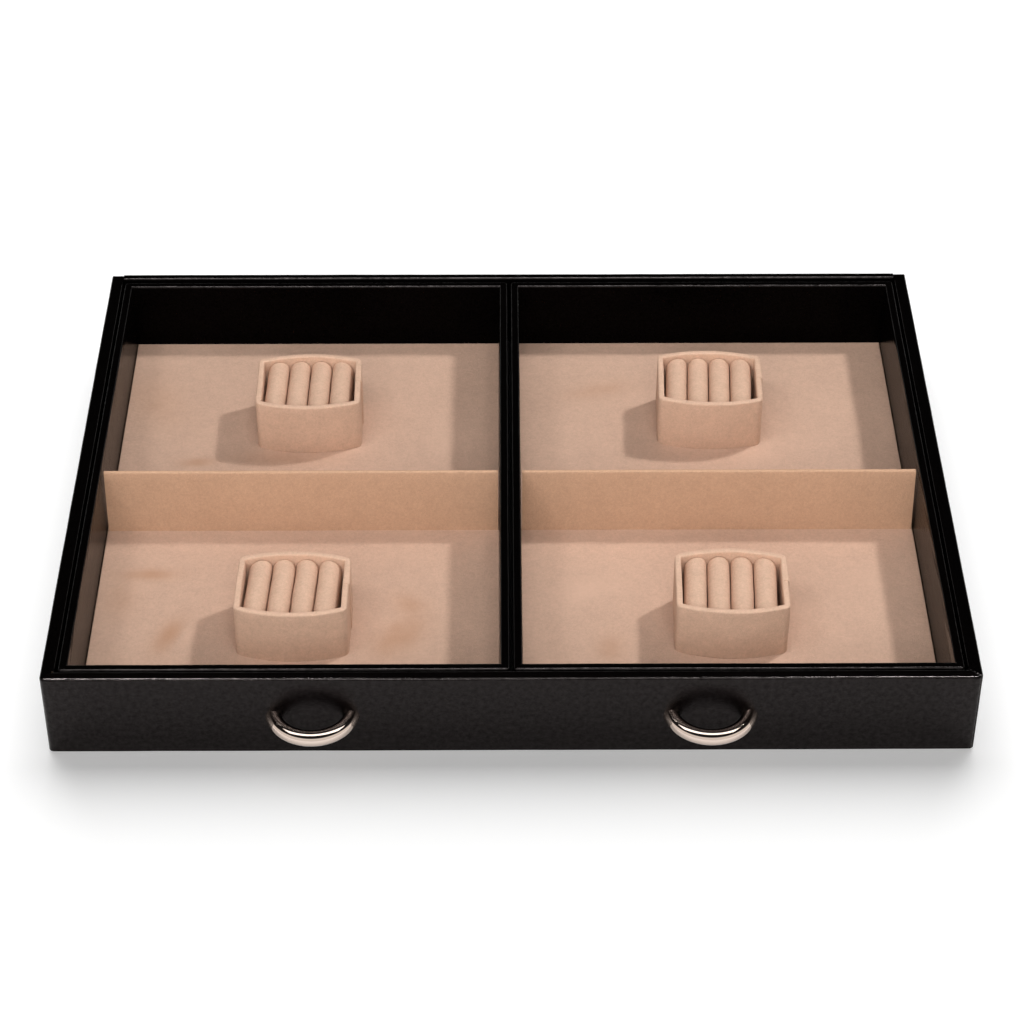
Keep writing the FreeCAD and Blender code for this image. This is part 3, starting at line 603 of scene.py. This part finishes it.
def ring_loop(depth, half_x, half_y, corner, arc_steps):
    """A rounded rectangle at some depth inside its outline, always with the same number of points.
    Deeper than its corner radius, the corners are sharp."""
    flat = max(depth, corner)
    radius = max(corner - depth, 0.0)
    sides = [((half_x - flat, -half_y + depth), (half_x - depth, -half_y + flat), -math.pi / 2),
             ((half_x - depth, half_y - flat), (half_x - flat, half_y - depth), 0.0),
             ((-half_x + flat, half_y - depth), (-half_x + depth, half_y - flat), math.pi / 2),
             ((-half_x + depth, -half_y + flat), (-half_x + flat, -half_y + depth), math.pi)]
    loop = []
    for index, (_, arc_end, start_angle) in enumerate(sides):
        angles = [start_angle + math.pi / 2 * step / arc_steps for step in range(arc_steps + 1)]
        sign_x = 1 if index in (0, 1) else -1
        sign_y = 1 if index in (1, 2) else -1
        centre = (sign_x * (half_x - flat), sign_y * (half_y - flat))
        loop += [(centre[0] + radius * math.cos(angle), centre[1] + radius * math.sin(angle))
                 for angle in angles]
        following = sides[(index + 1) % 4][0]
        run = Vector(following) - Vector(arc_end)
        for place in graded(run.length, CREASE_STEPS, LEATHER_SPACING)[1:-1]:
            loop.append(tuple(Vector(arc_end) + run.normalized() * place))
    return loop


def tray_skin(side):
    """One leather skin over a tray's four walls, with rounded outside and sharp inside corners."""
    low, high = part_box("tray_%s_leather" % side)
    centre = (low + high) / 2
    profile, rim_rows, inside_start = rim_profile(
        TRAY_WALL, low.z, TRAY_BASE_TOP, high.z, RIM_RADIUS, 7, LEATHER_THICKNESS)
    loops = []
    for depth, height in profile:
        loop = ring_loop(depth, TRAY_HALF_X, TRAY_HALF_Y, TRAY_CORNER, 6)
        loops.append([(centre.x + x, centre.y + y, height) for x, y in loop])
    points, faces, face_rows = sweep(loops, closed=True)
    points = waver(points, *TRAY_WAVES, TRAY_SEED + SIDES[side])
    skin = make_piece("tray_%s_leather_skin" % side, points, faces, TRAY_FINISHES,
                      finish_rows(face_rows, rim_rows, inside_start))
    finish_piece(skin, "tray_" + side, "black_leather", "tray_%s_leather" % side)


# ---------------------------------------------------------------- suede boards

def edge_drop(distance, radius):
    """How far a rounded edge lies below its flat, by the distance in from the edge."""
    if distance >= radius:
        return 0.0
    return radius - math.sqrt(radius ** 2 - (radius - distance) ** 2)


# Patches of the floors darkened by pressed nap and painted shade: middle (x, y), half lengths (x, y), turn
# in degrees, and how far it darkens (less than 0: lightens, by nap and painted light), with lengths in
# millimetres.
NAP_AND_SHADE_PATCHES = (
    (-166, -41, 12, 4, 0, 0.8), (-154, -83, 5, 11, -20, 0.9), (-145, -84, 2.5, 8, -20, -0.7),
    (-50, -84, 9, 14, -35, 0.8), (-46, -62, 9, 7, -35, 0.5), (-151, 42, 8, 3, 5, 0.8),
    (-111, 45, 22, 5, 0, 0.4), (-175, 90, 14, 22, 20, 0.35), (44, -92, 6, 9, 0, 0.5),
    (35, -51, 15, 8, 30, -0.6), (45, 99, 18, 7, 15, 0.4), (122, 48, 13, 7, 30, -0.5),
    (165, -45, 18, 8, 20, -0.4), (-30, 60, 12, 14, 0, -0.35), (-178, -59, 8, 12, 0, 0.35))


RIPPLE = 0.35
RIPPLE_SIZE = 7 * MM


def nap_and_shade_at(x, y):
    """How far a place is darkened by pressed nap and painted shade, from all the patches, whose strength
    ripples a little.
    """
    total = 0.0
    for middle_x, middle_y, half_x, half_y, turn, depth in NAP_AND_SHADE_PATCHES:
        step = Matrix.Rotation(-math.radians(turn), 2) @ Vector((x / MM - middle_x, y / MM - middle_y))
        ripple = RIPPLE * noise.noise(Vector((x, y, depth)) / RIPPLE_SIZE)
        total += depth * math.exp(-(step.x / half_x) ** 2 - (step.y / half_y) ** 2) * (1 + ripple)
    return total


# A suede floor's gentle swells: their height, their size, the strip along its edges where they fade
# out, and how far the face lies below the solid's.
FLOOR_SWELL = 0.10 * MM
FLOOR_SWELL_SIZE = 38 * MM
FLOOR_SWELL_FADE = 5 * MM
FLOOR_SETTLE = 0.08 * MM


def suede_floor(side, row):
    """A board wrapped in suede, with soft edges and a slightly uneven face."""
    node = "tray_%s_%s_floor" % (side, row)
    overhang = Vector((SUEDE_OVERHANG, SUEDE_OVERHANG, 0))
    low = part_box(node)[0] - overhang
    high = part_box(node)[1] + overhang
    radius = SUEDE_EDGE
    ends = [radius * step for step in (0.04, 0.15, 0.35, 0.65, 1.0, 2.0)]
    across = graded(high.x - low.x, ends, SUEDE_SPACING)
    along = graded(high.y - low.y, ends, SUEDE_SPACING)
    points, wear, nap = [], [], []
    for step_y in along:
        for step_x in across:
            edge_x = min(step_x, high.x - low.x - step_x)
            edge_y = min(step_y, high.y - low.y - step_y)
            drop = max(edge_drop(edge_x, radius), edge_drop(edge_y, radius))
            place = Vector((low.x + step_x, low.y + step_y, 0))
            fade = min(1, min(edge_x, edge_y) / FLOOR_SWELL_FADE)
            swell = noise.noise(place / FLOOR_SWELL_SIZE) * FLOOR_SWELL * fade
            points.append((place.x, place.y, high.z - drop + swell - FLOOR_SETTLE))
            # The rounded edges are painted paler: rubbed wear and a painted highlight.
            wear.append(0.25 if min(edge_x, edge_y) < radius else 0.0)
            # Patches of pressed nap and painted shade.
            nap.append(nap_and_shade_at(place.x, place.y))
    count_x, count_y = len(across), len(along)
    faces = [(y * count_x + x, y * count_x + x + 1, (y + 1) * count_x + x + 1, (y + 1) * count_x + x)
             for y in range(count_y - 1) for x in range(count_x - 1)]
    border = list(range(count_x))
    border += [y * count_x + count_x - 1 for y in range(1, count_y)]
    border += [(count_y - 1) * count_x + x for x in range(count_x - 2, -1, -1)]
    border += [y * count_x for y in range(count_y - 2, 0, -1)]
    skirt = len(points)
    for index in border:
        points.append((points[index][0], points[index][1], low.z))
        wear.append(0.0)
        nap.append(0.0)
    for index in range(len(border)):
        after = (index + 1) % len(border)
        faces.append((border[after], border[index], skirt + index, skirt + after))
    faces.append(tuple(skirt + index for index in range(len(border)))[::-1])
    panel = make_piece("tray_%s_%s_suede_floor" % (side, row), points, faces, ["tray_suede"],
                       wear=wear, nap=nap)
    finish_piece(panel, "tray_" + side, "tray_suede", node)


def divider(side):
    """The leaning suede divider: flat faces, a rounded top fold and slightly bowed."""
    node = "tray_%s_divider" % side
    low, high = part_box(node)
    half = DIVIDER_THICKNESS / 2
    profile = [(-half, height) for height in np.linspace(low.z, high.z - half, 9, endpoint=False)]
    profile += [(across, high.z - half + rise) for across, rise in arc((0, 0), half, math.pi, 0, 8)]
    profile += [(half, height) for height in np.linspace(high.z - half, low.z, 10)[1:]]
    loops = []
    for across, height in profile:
        place_y = low.y + half + across + (height - low.z) * math.tan(DIVIDER_LEAN)
        stations = graded(high.x - low.x, [0.3 * MM, 0.8 * MM, 2 * MM], 5 * MM)
        loops.append([(low.x + step, place_y, height) for step in stations])
    points, faces, _ = sweep(loops, closed=False)
    # The top fold is painted paler: rubbed wear and a painted highlight.
    wear = [0.9 * max(0.0, 1 - (high.z - point[2]) / DIVIDER_WEAR_AND_HIGHLIGHT) for point in points]
    points = waver(points, *DIVIDER_WAVES, DIVIDER_SEED + SIDES[side])
    board = make_piece(node + "_suede", points, faces, ["divider_shaded_suede"], wear=wear)
    finish_piece(board, "tray_" + side, "tray_suede", node)


# ---------------------------------------------------------------- holders

HOLDER_HALF = HOLDER_WIDTH / 2
HOLDER_SIDE_HALF = HOLDER_SIDE / 2
HOLDER_ARC = (HOLDER_HALF ** 2 + HOLDER_BULGE ** 2) / (2 * HOLDER_BULGE)
HOLDER_ARC_CENTRE = HOLDER_ARC - HOLDER_SIDE_HALF - HOLDER_BULGE
CORNER_X = HOLDER_HALF - HOLDER_CORNER
CORNER_Y = math.sqrt((HOLDER_ARC - HOLDER_CORNER) ** 2 - CORNER_X ** 2) - HOLDER_ARC_CENTRE
CORNER_TURN = math.atan2(CORNER_Y + HOLDER_ARC_CENTRE, CORNER_X)
SEAM_STEPS = [step * MM for step in (-1.2, -0.6, -0.3, -0.1, 0.0, 0.1, 0.3, 0.6, 1.2)]
# How deep into the wall the seam's step and slit reach.
SEAM_REACH = 1.6 * MM


def seam_slit(along, depth, width):
    """How deep the seam's slit is cut, by the distance along the wall from its middle."""
    return depth * math.exp(-(along / width) ** 2)


def seam_shift(along):
    """The lapped seam on a holder's right side: the rear end of the wall stands proud, beside a slit."""
    slit = seam_slit(along, 0.5 * MM, 0.13 * MM)
    if along <= 0:
        return -slit
    return HOLDER_SEAM * (1 - along / CORNER_Y) - slit


def holder_loop(depth):
    """The holder's outline at some depth inside its outer face, anticlockwise from the front of the
    right side: the side with its seam, then corner, rear arc, corner, left side and the front."""
    near_outside = max(0.0, 1 - depth / SEAM_REACH)
    places = sorted(list(np.linspace(-CORNER_Y, CORNER_Y, 12)) + SEAM_STEPS)
    loop = [(HOLDER_HALF - depth + seam_shift(place) * near_outside, place) for place in places]
    loop += arc((CORNER_X, CORNER_Y), HOLDER_CORNER - depth, 0, CORNER_TURN, 7)[1:]
    loop += arc((0, -HOLDER_ARC_CENTRE), HOLDER_ARC - depth, CORNER_TURN, math.pi - CORNER_TURN, 26)[1:]
    loop += arc((-CORNER_X, CORNER_Y), HOLDER_CORNER - depth, math.pi - CORNER_TURN, math.pi, 7)[1:]
    loop += [(-HOLDER_HALF + depth, place) for place in np.linspace(CORNER_Y, -CORNER_Y, 14)[1:]]
    loop += arc((-CORNER_X, -CORNER_Y), HOLDER_CORNER - depth, math.pi, math.pi + CORNER_TURN, 7)[1:]
    loop += arc((0, HOLDER_ARC_CENTRE), HOLDER_ARC - depth,
                math.pi + CORNER_TURN, 2 * math.pi - CORNER_TURN, 26)[1:]
    loop += arc((CORNER_X, -CORNER_Y), HOLDER_CORNER - depth,
                2 * math.pi - CORNER_TURN, 2 * math.pi, 7)[1:-1]
    return loop


def stand(points, centre, turn):
    """Turns a holder's points about Z and stands them at its centre."""
    rotation = Matrix.Rotation(math.radians(turn), 3, "Z")
    return [rotation @ Vector(point) + Vector((centre.x, centre.y, 0)) for point in points]


def holder_wall(spot, centre, turn, seed):
    """The bent wall in suede, with a soft rim and the seam on its right side."""
    low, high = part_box("holder_%s_wall" % spot)
    profile, rim_rows, _ = rim_profile(HOLDER_WALL, low.z, low.z, high.z, HOLDER_RIM, 9, HOLDER_FOLD)
    loops = []
    for depth, height in profile:
        loop = []
        for x, y in holder_loop(depth):
            slit = 0.0
            if x > 0 and abs(y) < 0.5 * MM:
                slit = seam_slit(y, 0.45 * MM, 0.12 * MM)
            loop.append((x, y, min(height, high.z - slit)))
        loops.append(loop)
    points, faces, _ = sweep(loops, closed=True)
    # The rim is painted paler: rubbed wear and a painted highlight.
    wear = [max(0.0, 1 - (high.z - point[2]) / HOLDER_WEAR_AND_HIGHLIGHT) for point in points]
    points = waver(points, *HOLDER_WAVES, seed)
    wall = make_piece("holder_%s_suede_wall" % spot, stand(points, centre, turn), faces,
                      ["holder_suede"], wear=wear)
    finish_piece(wall, "holder_" + spot, "holder_suede", "holder_%s_wall" % spot)


def cushion_section(width, bottom, top, inset):
    """(x, height) round a cushion's section from one foot over the round top to the other foot."""
    half = width / 2 - inset
    rise = width / 2 * 0.97 - inset * 0.4
    shoulder = top - inset - rise
    left = [(-half, height) for height in np.linspace(bottom, shoulder, 7, endpoint=False)]
    crown = [(half * math.cos(angle), shoulder + rise * math.sin(angle))
             for angle in np.linspace(math.pi, 0, 17)]
    right = [(half, height) for height in np.linspace(shoulder, bottom, 8)[1:]]
    return left + crown + right


def cushion(spot, number, centre, turn, seed):
    """An upright foam cushion in suede. Its ends follow the holder's bulged wall."""
    low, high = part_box("holder_%s_cushion_%d" % (spot, number))
    high.z += CUSHION_OUTER_RISE if number in (1, CUSHIONS) else CUSHION_INNER_RISE
    room = HOLDER_HALF - HOLDER_WALL - CUSHION_END_ROOM
    pitch = (2 * room + CUSHION_SLIT) / CUSHIONS
    width = pitch - CUSHION_SLIT
    middle = (number - (CUSHIONS + 1) / 2) * pitch + CUSHION_SHIFT
    reach = HOLDER_ARC - HOLDER_WALL - CUSHION_CLEARANCE
    ends = [CUSHION_END_ROUND * step for step in (0.05, 0.2, 0.45, 0.75, 1.0, 1.8)]
    length = 2 * (reach - HOLDER_ARC_CENTRE)
    stations = graded(length, ends, CUSHION_SPACING) / length
    rings = []
    for station in stations:
        inset = edge_drop(min(station, 1 - station) * length, CUSHION_END_ROUND)
        ring = []
        for x, height in cushion_section(width, low.z, high.z, inset):
            furthest = abs(middle + x) + CUSHION_SLANT
            end_y = math.sqrt(reach ** 2 - furthest ** 2) - HOLDER_ARC_CENTRE
            along = 2 * station - 1
            ring.append((middle + x + CUSHION_SLANT * along, end_y * along, height))
        rings.append(ring)
    points, faces = tube(rings)
    count = len(rings[0])
    faces += [tuple(range(count)), tuple(range(len(points) - count, len(points)))]
    points = waver(points, *CUSHION_WAVES, seed)
    points = [Vector((point.x, point.y, max(point.z, low.z))) for point in points]
    # The tops are painted paler: rubbed wear and a painted highlight.
    wear = [0.35 if point.z > high.z - CUSHION_WEAR_AND_HIGHLIGHT else 0.0 for point in points]
    pad = make_piece("holder_%s_foam_cushion_%d" % (spot, number), stand(points, centre, turn), faces,
                     ["holder_suede"], wear=wear)
    finish_piece(pad, "holder_" + spot, "holder_suede", "holder_%s_cushion_%d" % (spot, number))


def holders():
    for index, (spot, turn) in enumerate(HOLDER_TURNS.items()):
        low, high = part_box("holder_%s_base" % spot)
        centre = (low + high) / 2
        holder_wall(spot, centre, turn, HOLDER_SEED + index)
        for number in range(1, CUSHIONS + 1):
            cushion(spot, number, centre, turn, CUSHION_SEED + index * CUSHIONS + number)


# ---------------------------------------------------------------- pulls

def pull_ring(side):
    """A half ring of polished round rod, cut flush at the drawer's face."""
    low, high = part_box("front_pulls")
    centre_x = SIDES[side] * (high.x - PULL_RADIUS - PULL_ROD / 2)
    centre_y = -HALF_LENGTH + PULL_SETBACK
    centre_z = (low.z + high.z) / 2
    rings = []
    for segment in range(PULL_STEPS + 1):
        angle = math.pi + math.pi * segment / PULL_STEPS
        section = []
        for step in range(ROD_STEPS):
            turn = 2 * math.pi * step / ROD_STEPS
            reach = PULL_RADIUS + PULL_ROD / 2 * math.cos(turn)
            section.append((centre_x + reach * math.cos(angle), centre_y + reach * math.sin(angle),
                            centre_z + PULL_ROD / 2 * math.sin(turn)))
        rings.append(section)
    points, faces = tube(rings)
    ring = make_piece("pull_%s_ring" % side, points, faces, ["polished_pull"])
    made = bmesh.new()
    made.from_mesh(ring.data)
    bmesh.ops.bisect_plane(made, geom=made.verts[:] + made.edges[:] + made.faces[:],
                           plane_co=(0, -HALF_LENGTH, 0), plane_no=(0, 1, 0), clear_outer=True)
    bmesh.ops.holes_fill(made, edges=[edge for edge in made.edges if edge.is_boundary])
    made.to_mesh(ring.data)
    made.free()
    finish_piece(ring, "drawer", "polished_pull", "front_pulls")


# ---------------------------------------------------------------- stage, light and camera

def glow_for_eyes(tree, strength):
    """A socket that is `strength` for camera, mirror and glass rays and 0 for the light on things."""
    rays = tree.nodes.new("ShaderNodeLightPath")
    seen = rays.outputs["Is Camera Ray"]
    for kind in ("Is Glossy Ray", "Is Transmission Ray"):
        either = tree.nodes.new("ShaderNodeMath")
        either.operation = "MAXIMUM"
        tree.links.new(seen, either.inputs[0])
        tree.links.new(rays.outputs[kind], either.inputs[1])
        seen = either.outputs[0]
    scaled = tree.nodes.new("ShaderNodeMath")
    scaled.operation = "MULTIPLY"
    scaled.inputs[1].default_value = strength
    tree.links.new(seen, scaled.inputs[0])
    return scaled.outputs[0]


def pale_floor():
    """White paper: diffuse, with a little glow for the eye, so it is white and keeps the shadow."""
    material = bpy.data.materials.new("paper")
    material.use_nodes = True
    tree = material.node_tree
    tree.nodes.clear()
    diffuse = tree.nodes.new("ShaderNodeBsdfDiffuse")
    diffuse.inputs["Color"].default_value = (*PAPER, 1)
    glow = tree.nodes.new("ShaderNodeEmission")
    tree.links.new(glow_for_eyes(tree, PAPER_GLOW), glow.inputs["Strength"])
    add = tree.nodes.new("ShaderNodeAddShader")
    tree.links.new(diffuse.outputs[0], add.inputs[0])
    tree.links.new(glow.outputs[0], add.inputs[1])
    output = tree.nodes.new("ShaderNodeOutputMaterial")
    tree.links.new(add.outputs[0], output.inputs["Surface"])
    bpy.ops.mesh.primitive_plane_add(size=FLOOR_SIZE)
    floor = bpy.context.active_object
    floor.name = "floor"
    floor.data.materials.append(material)
    return floor


def studio_world():
    """A pale studio wall, higher in front than behind, under a dark ceiling that keeps leather black."""
    world = bpy.data.worlds.new("studio")
    world.use_nodes = True
    tree = world.node_tree
    place = tree.nodes.new("ShaderNodeTexCoord")
    tilted = tree.nodes.new("ShaderNodeVectorMath")
    tilted.operation = "DOT_PRODUCT"
    tree.links.new(place.outputs["Generated"], tilted.inputs[0])
    tilted.inputs[1].default_value = (0, WALL_TILT, 1)
    fade = tree.nodes.new("ShaderNodeMapRange")
    tree.links.new(tilted.outputs["Value"], fade.inputs["Value"])
    fade.inputs["From Min"].default_value = WALL_TOP
    fade.inputs["From Max"].default_value = WALL_TOP + 0.06
    mix = tree.nodes.new("ShaderNodeMix")
    mix.data_type = "RGBA"
    tree.links.new(fade.outputs["Result"], mix.inputs[0])
    mix.inputs[6].default_value = (0.86, 0.84, 0.82, 1)
    mix.inputs[7].default_value = (0.015, 0.015, 0.015, 1)
    tree.links.new(mix.outputs[2], tree.nodes["Background"].inputs["Color"])
    bpy.context.scene.world = world


def light_group(name, things, state):
    """A collection for light linking, whose members are all included or all excluded."""
    group = bpy.data.collections.new(name)
    for thing in things:
        group.objects.link(thing)
    for entry in group.collection_objects:
        entry.light_linking.link_state = state
    return group


def softbox(name, place, size, radiance, lit=(), unlit=(), blockers=()):
    """A rectangular lamp that looks at the origin. It lights only `lit`, or all but `unlit`, and only
    `blockers`, if there are any, cast its shadows."""
    data = bpy.data.lights.new(name, "AREA")
    data.shape = "RECTANGLE"
    data.size, data.size_y = size
    data.energy = radiance * math.pi * size[0] * size[1]
    lamp = bpy.data.objects.new(name, data)
    lamp.location = place
    lamp.rotation_mode = "QUATERNION"
    lamp.rotation_quaternion = (-Vector(place)).to_track_quat("-Z", "Y")
    bpy.context.scene.collection.objects.link(lamp)
    state = "INCLUDE" if lit else "EXCLUDE"
    lamp.light_linking.receiver_collection = light_group(name + "_lit", (*lit, *unlit), state)
    if blockers:
        lamp.light_linking.blocker_collection = light_group(name + "_blockers", blockers, "INCLUDE")


PAPER = (0.8, 0.8, 0.8)
PAPER_GLOW = 0.33
FLOOR_SIZE = 40
WALL_TILT = 0.2
WALL_TOP = 0.38
# The panels over the front rim, whose highlight fades towards its middle: how far each stands from the
# middle, and its radiance.
FRONT_RIM_PANELS = {
    "left": ((0.055, 1), (0.165, 4), (0.275, 34), (0.385, 290), (0.495, 540)),
    "right": ((0.055, 1), (0.165, 4), (0.275, 28), (0.385, 190), (0.495, 330)),
}


def studio():
    """The key is right, behind and above, a softbox hangs overhead, and a faint fill at the left and a
    panel in front open up the upright faces. The other lamps light one kind of piece each: the holders,
    the dividers, the pulls, the leather's rims and the front leather, which the pulls mirror. The
    floor's panel stands behind the drawer, so that its soft shadow falls to the front."""
    front = bpy.data.objects["front_leather_skin"]
    leathers = [piece for piece in bpy.data.objects if "leather_skin" in piece.name and piece != front]
    rings = [piece for piece in bpy.data.objects if piece.name.endswith("_ring")]
    holder_pieces = [piece for piece in bpy.data.objects if piece.name.startswith("holder_")]
    dividers = [piece for piece in bpy.data.objects if "divider" in piece.name]
    shadowing = [piece for piece in bpy.data.objects if piece.type == "MESH" and piece not in rings]
    floor = pale_floor()
    studio_world()
    softbox("key", (0.90, 0.55, 1.36), (0.14, 0.14), 226, unlit=[floor])
    softbox("overhead", (0, -0.5, 1.52), (0.8, 1.0), 3.3, unlit=[floor, *rings])
    softbox("left_fill", (-0.7, -0.45, 1.3), (0.34, 0.34), 9, unlit=[floor, *rings])
    softbox("front_panel", (-0.15, -1.6, 1.15), (1.6, 0.8), 3.0, unlit=[floor, *rings])
    softbox("holder_panel", (-0.2, -0.75, 0.26), (1.2, 0.4), 0.75,
            lit=holder_pieces, blockers=holder_pieces)
    softbox("divider_panel", (-0.5, -1.6, 0.4), (1.2, 0.4), 1.6, lit=dividers, blockers=dividers)
    softbox("pull_panel", (0, -0.2, 1.6), (2.4, 0.7), 2.2, lit=rings)
    softbox("pull_glint", (-0.1, -1.6, 1.25), (0.5, 0.08), 60, lit=[front])
    softbox("rim_panel", (0, 0.05, 1.6), (1.1, 0.25), 40, lit=leathers)
    for side, sign in SIDES.items():
        for number, (place_x, radiance) in enumerate(FRONT_RIM_PANELS[side]):
            softbox("front_rim_panel_%s_%d" % (side, number), (sign * place_x, 0.05, 1.6), (0.11, 0.16),
                    radiance, lit=[front])
    softbox("floor_panel", (0, 2.6, 3.2), (4.4, 4.4), 4.4, lit=[floor], blockers=shadowing)


def camera():
    data = bpy.data.cameras.new("camera")
    data.sensor_width = SENSOR_WIDTH
    data.lens = SENSOR_WIDTH * FOCAL_PIXELS / IMAGE_SIZE
    data.clip_start, data.clip_end = 0.05, 60
    forward = Vector((math.sin(CAMERA_YAW) * math.cos(CAMERA_PITCH),
                      math.cos(CAMERA_YAW) * math.cos(CAMERA_PITCH), -math.sin(CAMERA_PITCH)))
    level = Vector((math.cos(CAMERA_YAW), -math.sin(CAMERA_YAW), 0))
    upright = level.cross(forward)
    right = level * math.cos(CAMERA_ROLL) + upright * math.sin(CAMERA_ROLL)
    up = upright * math.cos(CAMERA_ROLL) - level * math.sin(CAMERA_ROLL)
    turn = Matrix((right, up, -forward)).transposed()
    made = bpy.data.objects.new("camera", data)
    made.matrix_world = Matrix.Translation(CAMERA_PLACE) @ turn.to_4x4()
    bpy.context.scene.collection.objects.link(made)
    bpy.context.scene.camera = made


# ---------------------------------------------------------------- all together

def paint_frame():
    """Gives every carried-over node the finish of its slot."""
    for name, node in frame["nodes"].items():
        node.data.materials.clear()
        node.data.materials.append(materials[SLOT_OF_NODE[name]])


paint_frame()
drawer_skins()
for side in SIDES:
    tray_skin(side)
    divider(side)
    pull_ring(side)
    for row in ROWS:
        suede_floor(side, row)
holders()
studio()
camera()
bpy.context.scene.view_settings.view_transform = "Standard"
